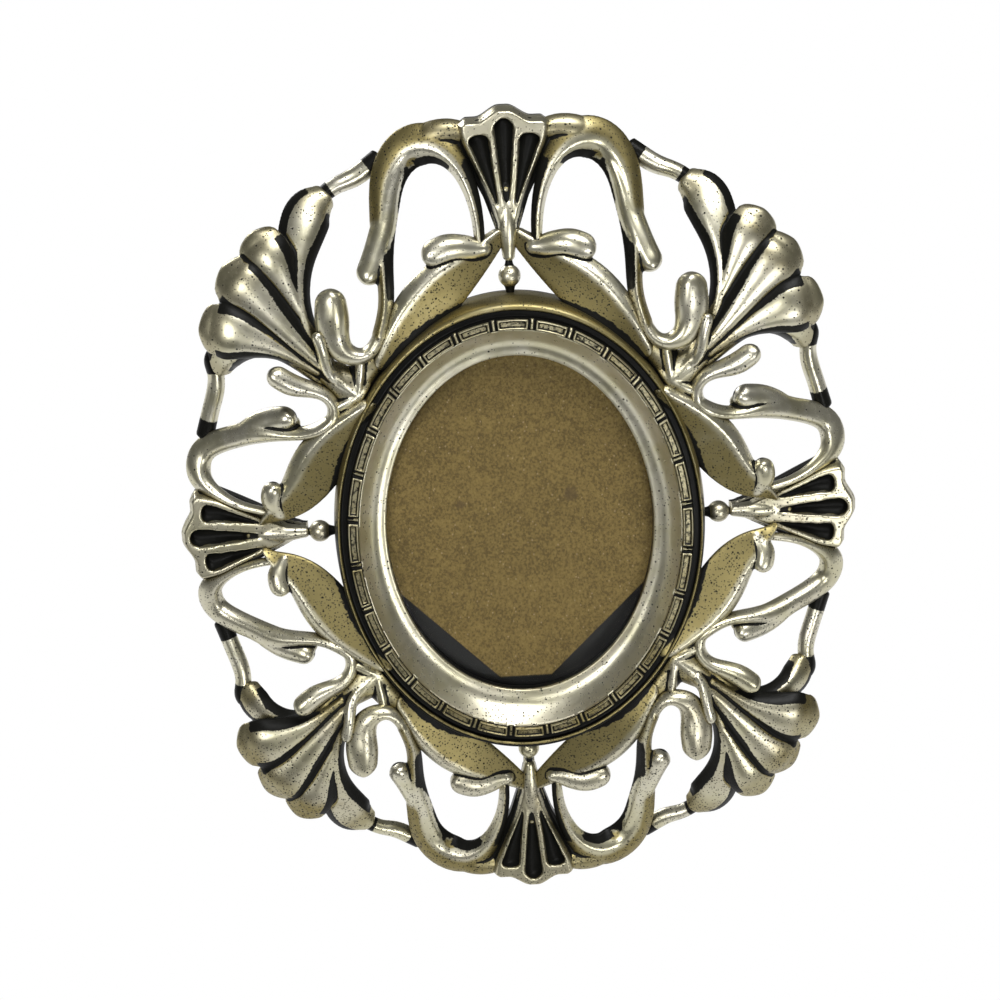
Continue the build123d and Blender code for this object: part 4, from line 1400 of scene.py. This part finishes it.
# A fan on a grid of way along and way across. Its half width follows the sides, its end is scalloped,
# and its front is a rounded slab less three flutes, each as deep as the root of one less the
# square of the distance from its middle line over its half width.
def fanSurface(sizes):
    length, width, sides = sizes["length"], sizes["width"], np.asarray(sizes["sides"])
    along = np.linspace(0, 1, fan["steps"][0])
    across = np.sin(np.linspace(-math.pi / 2, math.pi / 2, fan["steps"][1]))
    window = fan["sideSmoothing"]
    halfs = np.interp(along, sides[:, 0], sides[:, 1]) * width / 2
    halfs = np.convolve(np.pad(halfs, window // 2, mode="edge"), np.ones(window) / window, mode="valid")
    way, side = np.meshgrid(along, across, indexing="ij")
    offset = side * halfs[:, None]
    drop = fan["tipDrop"] * smoothStep(*fan["tipSpan"], np.abs(side))
    drop += fan["cornerDrop"] * smoothStep(*fan["cornerSpan"], np.abs(side))
    scallop = 1 - drop / length
    reach = way * (1 + (scallop - 1) * way**3) * length
    front = np.full_like(way, fan["frontHeight"])
    black = np.zeros_like(way)
    toTip = scallop * length - reach
    toEdge = np.minimum(halfs[:, None] - np.abs(offset), toTip)
    for share, stations, top in fan["flutes"]:
        places, widths = np.transpose(stations)
        endShare = widths[-1] / length
        pastRound = np.clip((way - (top - endShare)) / endShare, 0, 1)
        half = np.interp(way, places, widths, left=0)
        half = half * np.sqrt(np.clip(1 - pastRound**2, 0, 1)) * (way > places[0])
        for mirror in ((1,) if share == 0 else (1, -1)):
            middle = mirror * share * np.interp(way, sides[:, 0], sides[:, 1]) * width / 2
            away = np.abs(offset - middle) / np.maximum(half, 1e-3)
            inside = np.clip(1 - away**2, 0, 1)
            front = front - np.sqrt(inside) * np.minimum(half / fan["fluteFullHalf"], 1) * fan["fluteDepth"]
            inFlute = smoothStep(*fan["fluteBlack"], inside) * smoothStep(*fan["fluteBlackHalf"], half)
            black = np.maximum(black, inFlute)
    front = front - fan["edgeDrop"] * smoothStep(fan["edgeReach"], 0.0, toEdge) ** fan["edgePower"]
    front = front - fan["rootDrop"] * smoothStep(fan["rootSpan"], 0.0, way)
    onEdge = smoothStep(*fan["edgeBlack"], toEdge) * smoothStep(*fan["edgeBlackStart"], way)
    black = np.maximum(black, onEdge * (toTip > fan["tipClear"]))
    back = np.full_like(way, fan["backHeight"])
    front[0] = fan["backHeight"]
    forward = sizes["tip"] - length
    grid = np.concatenate([
        laidOut(offset, front, reach + forward, sizes["turned"]),
        laidOut(offset, back, reach + forward, sizes["turned"])[:, ::-1],
    ], 1)
    tones = np.concatenate([black, np.ones_like(black)], 1)
    rings, around = tones.shape
    step = np.arange(around // 2 - 1)
    ends = []
    for first in (0, (rings - 1) * around):
        last = first + around - 1
        quad = np.stack([first + step, first + step + 1, last - 1 - step, last - step], -1)
        ends.append(quad if first else quad[:, ::-1])
    faces = np.concatenate([gridFaces(rings, around), *ends])
    return Surface(grid.reshape(-1, 3), faces, tones.ravel(), np.full(tones.size, fan["gold"]))


stem = {
    "steps": 40,
    "around": 32,
    "rootShare": 0.62,
    "swell": 0.38,
    "swellEnd": 0.4,
    "taper": 0.45,
    "taperStart": 0.45,
    "capShare": 0.05,
    "gold": 0.2,
}


# A round bar along the fan's axis that thins outward, as rings about a straight line.
def stemSurface(start, end, width, black, turned):
    steps, around, cap = stem["steps"], stem["around"], stem["capShare"]
    ways = np.linspace(0, 1, steps)
    swell = stem["swell"] * smoothStep(0.0, stem["swellEnd"], ways)
    taper = stem["taper"] * smoothStep(stem["taperStart"], 1.0, ways)
    radius = width / 2 * (stem["rootShare"] + swell - taper)
    radius *= np.sqrt(np.clip(np.minimum(ways / cap, (1 - ways) / cap), cap, 1))
    angle = np.linspace(0, 2 * math.pi, around, endpoint=False)
    across = radius[:, None] * np.cos(angle)
    height = fan["stemHeight"] + radius[:, None] * np.sin(angle)
    along = (start + ways * (end - start))[:, None] * np.ones(around)
    grid = laidOut(across, height, along, turned)
    points = np.concatenate([grid.reshape(-1, 3), [grid[0].mean(0), grid[-1].mean(0)]])
    total = len(points)
    return Surface(points, skinFaces(steps, around), np.full(total, black), np.full(total, stem["gold"]))


def makeFan(sizes):
    length, sides = sizes["length"], np.asarray(sizes["sides"])
    root = sizes["tip"] - length
    shares = np.linspace(*fan["webSpan"])
    halfs = np.interp(shares, sides[:, 0], sides[:, 1]) * sizes["width"] / 2 + fan["flange"] * shares
    ways = root + shares * length
    outline = np.concatenate([np.stack([halfs, ways], -1), np.stack([-halfs, ways], -1)[::-1]])
    web = slabSurface(outline, fan["backHeight"], fan["webHeight"])
    web.points = laidOut(*web.points.T, sizes["turned"])
    stemEnd = root + fan["stemShare"] * length
    bar = stemSurface(root - fan["stemSink"], stemEnd, fan["stemWidth"], 0.0, sizes["turned"])
    return castMesh([fanSurface(sizes), web, bar], "fan")


def makeBead(sizes):
    middle = sizes["ringEdge"] + fan["beadOffset"]
    place = laidOut(0, fan["stemHeight"], middle, sizes["turned"])
    ball = ballSurface(place, [fan["beadRadius"]] * 3, fan["beadGold"])
    start, end = sizes["ringEdge"] - fan["neckSink"], sizes["tip"] - sizes["length"] + fan["stemSink"]
    neck = stemSurface(start, end, fan["neckRadius"] * 2, 1.0, sizes["turned"])
    return castMesh([ball, neck], "bead")


for kind, maker in (("fan", makeFan), ("bead", makeBead)):
    upright, sideways = maker(uprightFan), maker(sidewaysFan)
    for side, mesh, signs in (("top", upright, (1, 1)), ("bottom", upright, (1, -1)),
                              ("right", sideways, (1, 1)), ("left", sideways, (-1, 1))):
        name = f"{kind}_{side}"
        addPiece(mirroredMesh(mesh, "cast_" + name, *signs), "cast_" + name, leafMaterial, name)
print("fans ready")

# What the rebate holds and the hardware keep their CAD shapes

for node, material in (
    ("glass_pane", paneMaterial),
    ("picture_card", boardMaterial),
    ("rear_panel", blackBoardMaterial),
    ("hanger", plateMaterial),
    ("hanger_screws", screwMaterial),
    ("button_screws", screwMaterial),
    ("turn_button_1", plateMaterial),
    ("turn_button_2", plateMaterial),
    ("turn_button_3", plateMaterial),
    ("turn_button_4", plateMaterial),
):
    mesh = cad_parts[node].data
    mesh.materials.clear()
    mesh.materials.append(material)

# Studio: a pale floor that curves up into a backdrop, soft lamps, and the camera of the photograph

studio = {
    "floorLevel": -0.55,
    "backDistance": 1.6,
    "frontDistance": -0.40,
    "halfWidth": 3.0,
    "curveRadius": 0.7,
    "wallHeight": 0.75,
    "curveSteps": 16,
    "dull": (0.80, 0.80, 0.79, 1),
    "pale": (0.84, 0.84, 0.83, 1),
    "cloudNoise": (3.0, 3.0),
    "roughness": 0.9,
    "glow": (1, 1, 1, 1),
}


# A pale sheet that sends plain white to the camera and to mirrors, and lights the rest softly.
def makeSheetMaterial():
    make = NodeMaker("paleSheet")
    cloud = make.noise(*studio["cloudNoise"])
    color = make.mixColor(cloud, studio["dull"], studio["pale"])
    make.finish({"Base Color": color, "Roughness": studio["roughness"]})
    path = make.add("ShaderNodeLightPath")
    seen = make.math("MAXIMUM", path.outputs["Is Camera Ray"], path.outputs["Is Glossy Ray"])
    seen = make.math("MAXIMUM", seen, path.outputs["Is Transmission Ray"])
    glow = make.add("ShaderNodeEmission", {"Color": studio["glow"], "Strength": 1.0})
    mixed = make.add("ShaderNodeMixShader", {0: seen, 1: make.shader.outputs[0], 2: glow.outputs[0]})
    make.tree.links.new(mixed.outputs[0], make.output.inputs[0])
    return make.material


# A floor, a quarter round and a wall, as one profile carried straight across.
def makeStudio():
    turn = np.linspace(0, math.pi / 2, studio["curveSteps"])
    radius, back = studio["curveRadius"], studio["backDistance"]
    deep = np.concatenate([[studio["frontDistance"]], back - radius * (1 - np.sin(turn)), [back]])
    high = np.concatenate([[0], radius * (1 - np.cos(turn)), [studio["wallHeight"]]]) + studio["floorLevel"]
    sides = [np.full(len(deep), sign * studio["halfWidth"]) for sign in (-1, 1)]
    points = np.concatenate([np.stack([side, deep, high], -1) for side in sides])
    total = len(deep)
    step = np.arange(total - 1)
    faces = np.stack([step, total + step, total + step + 1, step + 1], -1)
    mesh = bpy.data.meshes.new("studio_sheet")
    mesh.from_pydata(points.tolist(), [], faces.tolist())
    mesh.polygons.foreach_set("use_smooth", np.ones(len(faces), bool))
    mesh.materials.append(makeSheetMaterial())
    sheet = bpy.data.objects.new("studio_sheet", mesh)
    bpy.context.scene.collection.objects.link(sheet)


lamps = (
    # name, place, size across and down, power in watts
    ("topBox", (0.25, -0.62, 1.00), (0.75, 0.50), 15.0),
    ("frontBox", (-0.50, -1.30, 0.15), (0.50, 0.50), 7.0),
    ("lowBox", (0.45, -1.10, -0.40), (0.45, 0.35), 4.0),
    ("rearBox", (-0.80, 0.85, 0.75), (0.50, 0.50), 8.0),
)


def makeLamps():
    target = Vector((0, 0, ovalLevel * millimetre))
    for name, place, size, power in lamps:
        lamp = bpy.data.lights.new(name, "AREA")
        lamp.shape = "RECTANGLE"
        lamp.size, lamp.size_y = size
        lamp.energy = power
        holder = bpy.data.objects.new(name, lamp)
        holder.location = place
        holder.rotation_euler = (target - Vector(place)).to_track_quat("-Z", "Y").to_euler()
        bpy.context.scene.collection.objects.link(holder)


air = {
    "dim": (0.11, 0.11, 0.105, 1),
    "white": (1, 1, 1, 1),
}


# Dim air that looks white to the camera.
def makeWorld():
    world = bpy.data.worlds.new("studioAir")
    bpy.context.scene.world = world
    world.use_nodes = True
    tree = world.node_tree
    dim = tree.nodes["Background"]
    dim.inputs["Color"].default_value = air["dim"]
    white = tree.nodes.new("ShaderNodeBackground")
    white.inputs["Color"].default_value = air["white"]
    path = tree.nodes.new("ShaderNodeLightPath")
    mixed = tree.nodes.new("ShaderNodeMixShader")
    tree.links.new(path.outputs["Is Camera Ray"], mixed.inputs[0])
    tree.links.new(dim.outputs[0], mixed.inputs[1])
    tree.links.new(white.outputs[0], mixed.inputs[2])
    tree.links.new(mixed.outputs[0], tree.nodes["World Output"].inputs["Surface"])


# The camera of the photograph: its place in millimetres, its axes, and its lens and sensor in millimetres
cameraPlace = {
    "across": -16.8,
    "forward": 651.8,
    "upward": 150.5,
    "right": (0.99866, -0.03047, -0.04173),
    "up": (0.04927, 0.31786, 0.94686),
    "back": (-0.01559, -0.94765, 0.31894),
    "lens": 72.0,
    "sensor": 36.0,
    "clipStart": 0.01,
}


def makeCamera():
    lens = bpy.data.cameras.new("photoCamera")
    lens.lens = cameraPlace["lens"]
    lens.sensor_width = cameraPlace["sensor"]
    lens.clip_start = cameraPlace["clipStart"]
    holder = bpy.data.objects.new("photoCamera", lens)
    bpy.context.scene.collection.objects.link(holder)
    turn = Matrix([cameraPlace[axis] for axis in ("right", "up", "back")]).transposed()
    place = Vector((cameraPlace["across"], -cameraPlace["forward"], cameraPlace["upward"])) * millimetre
    holder.matrix_world = Matrix.Translation(place) @ turn.to_4x4()
    bpy.context.scene.camera = holder


makeStudio()
makeLamps()
makeWorld()
makeCamera()
bpy.context.scene.view_settings.view_transform = "Standard"
print("studio ready")
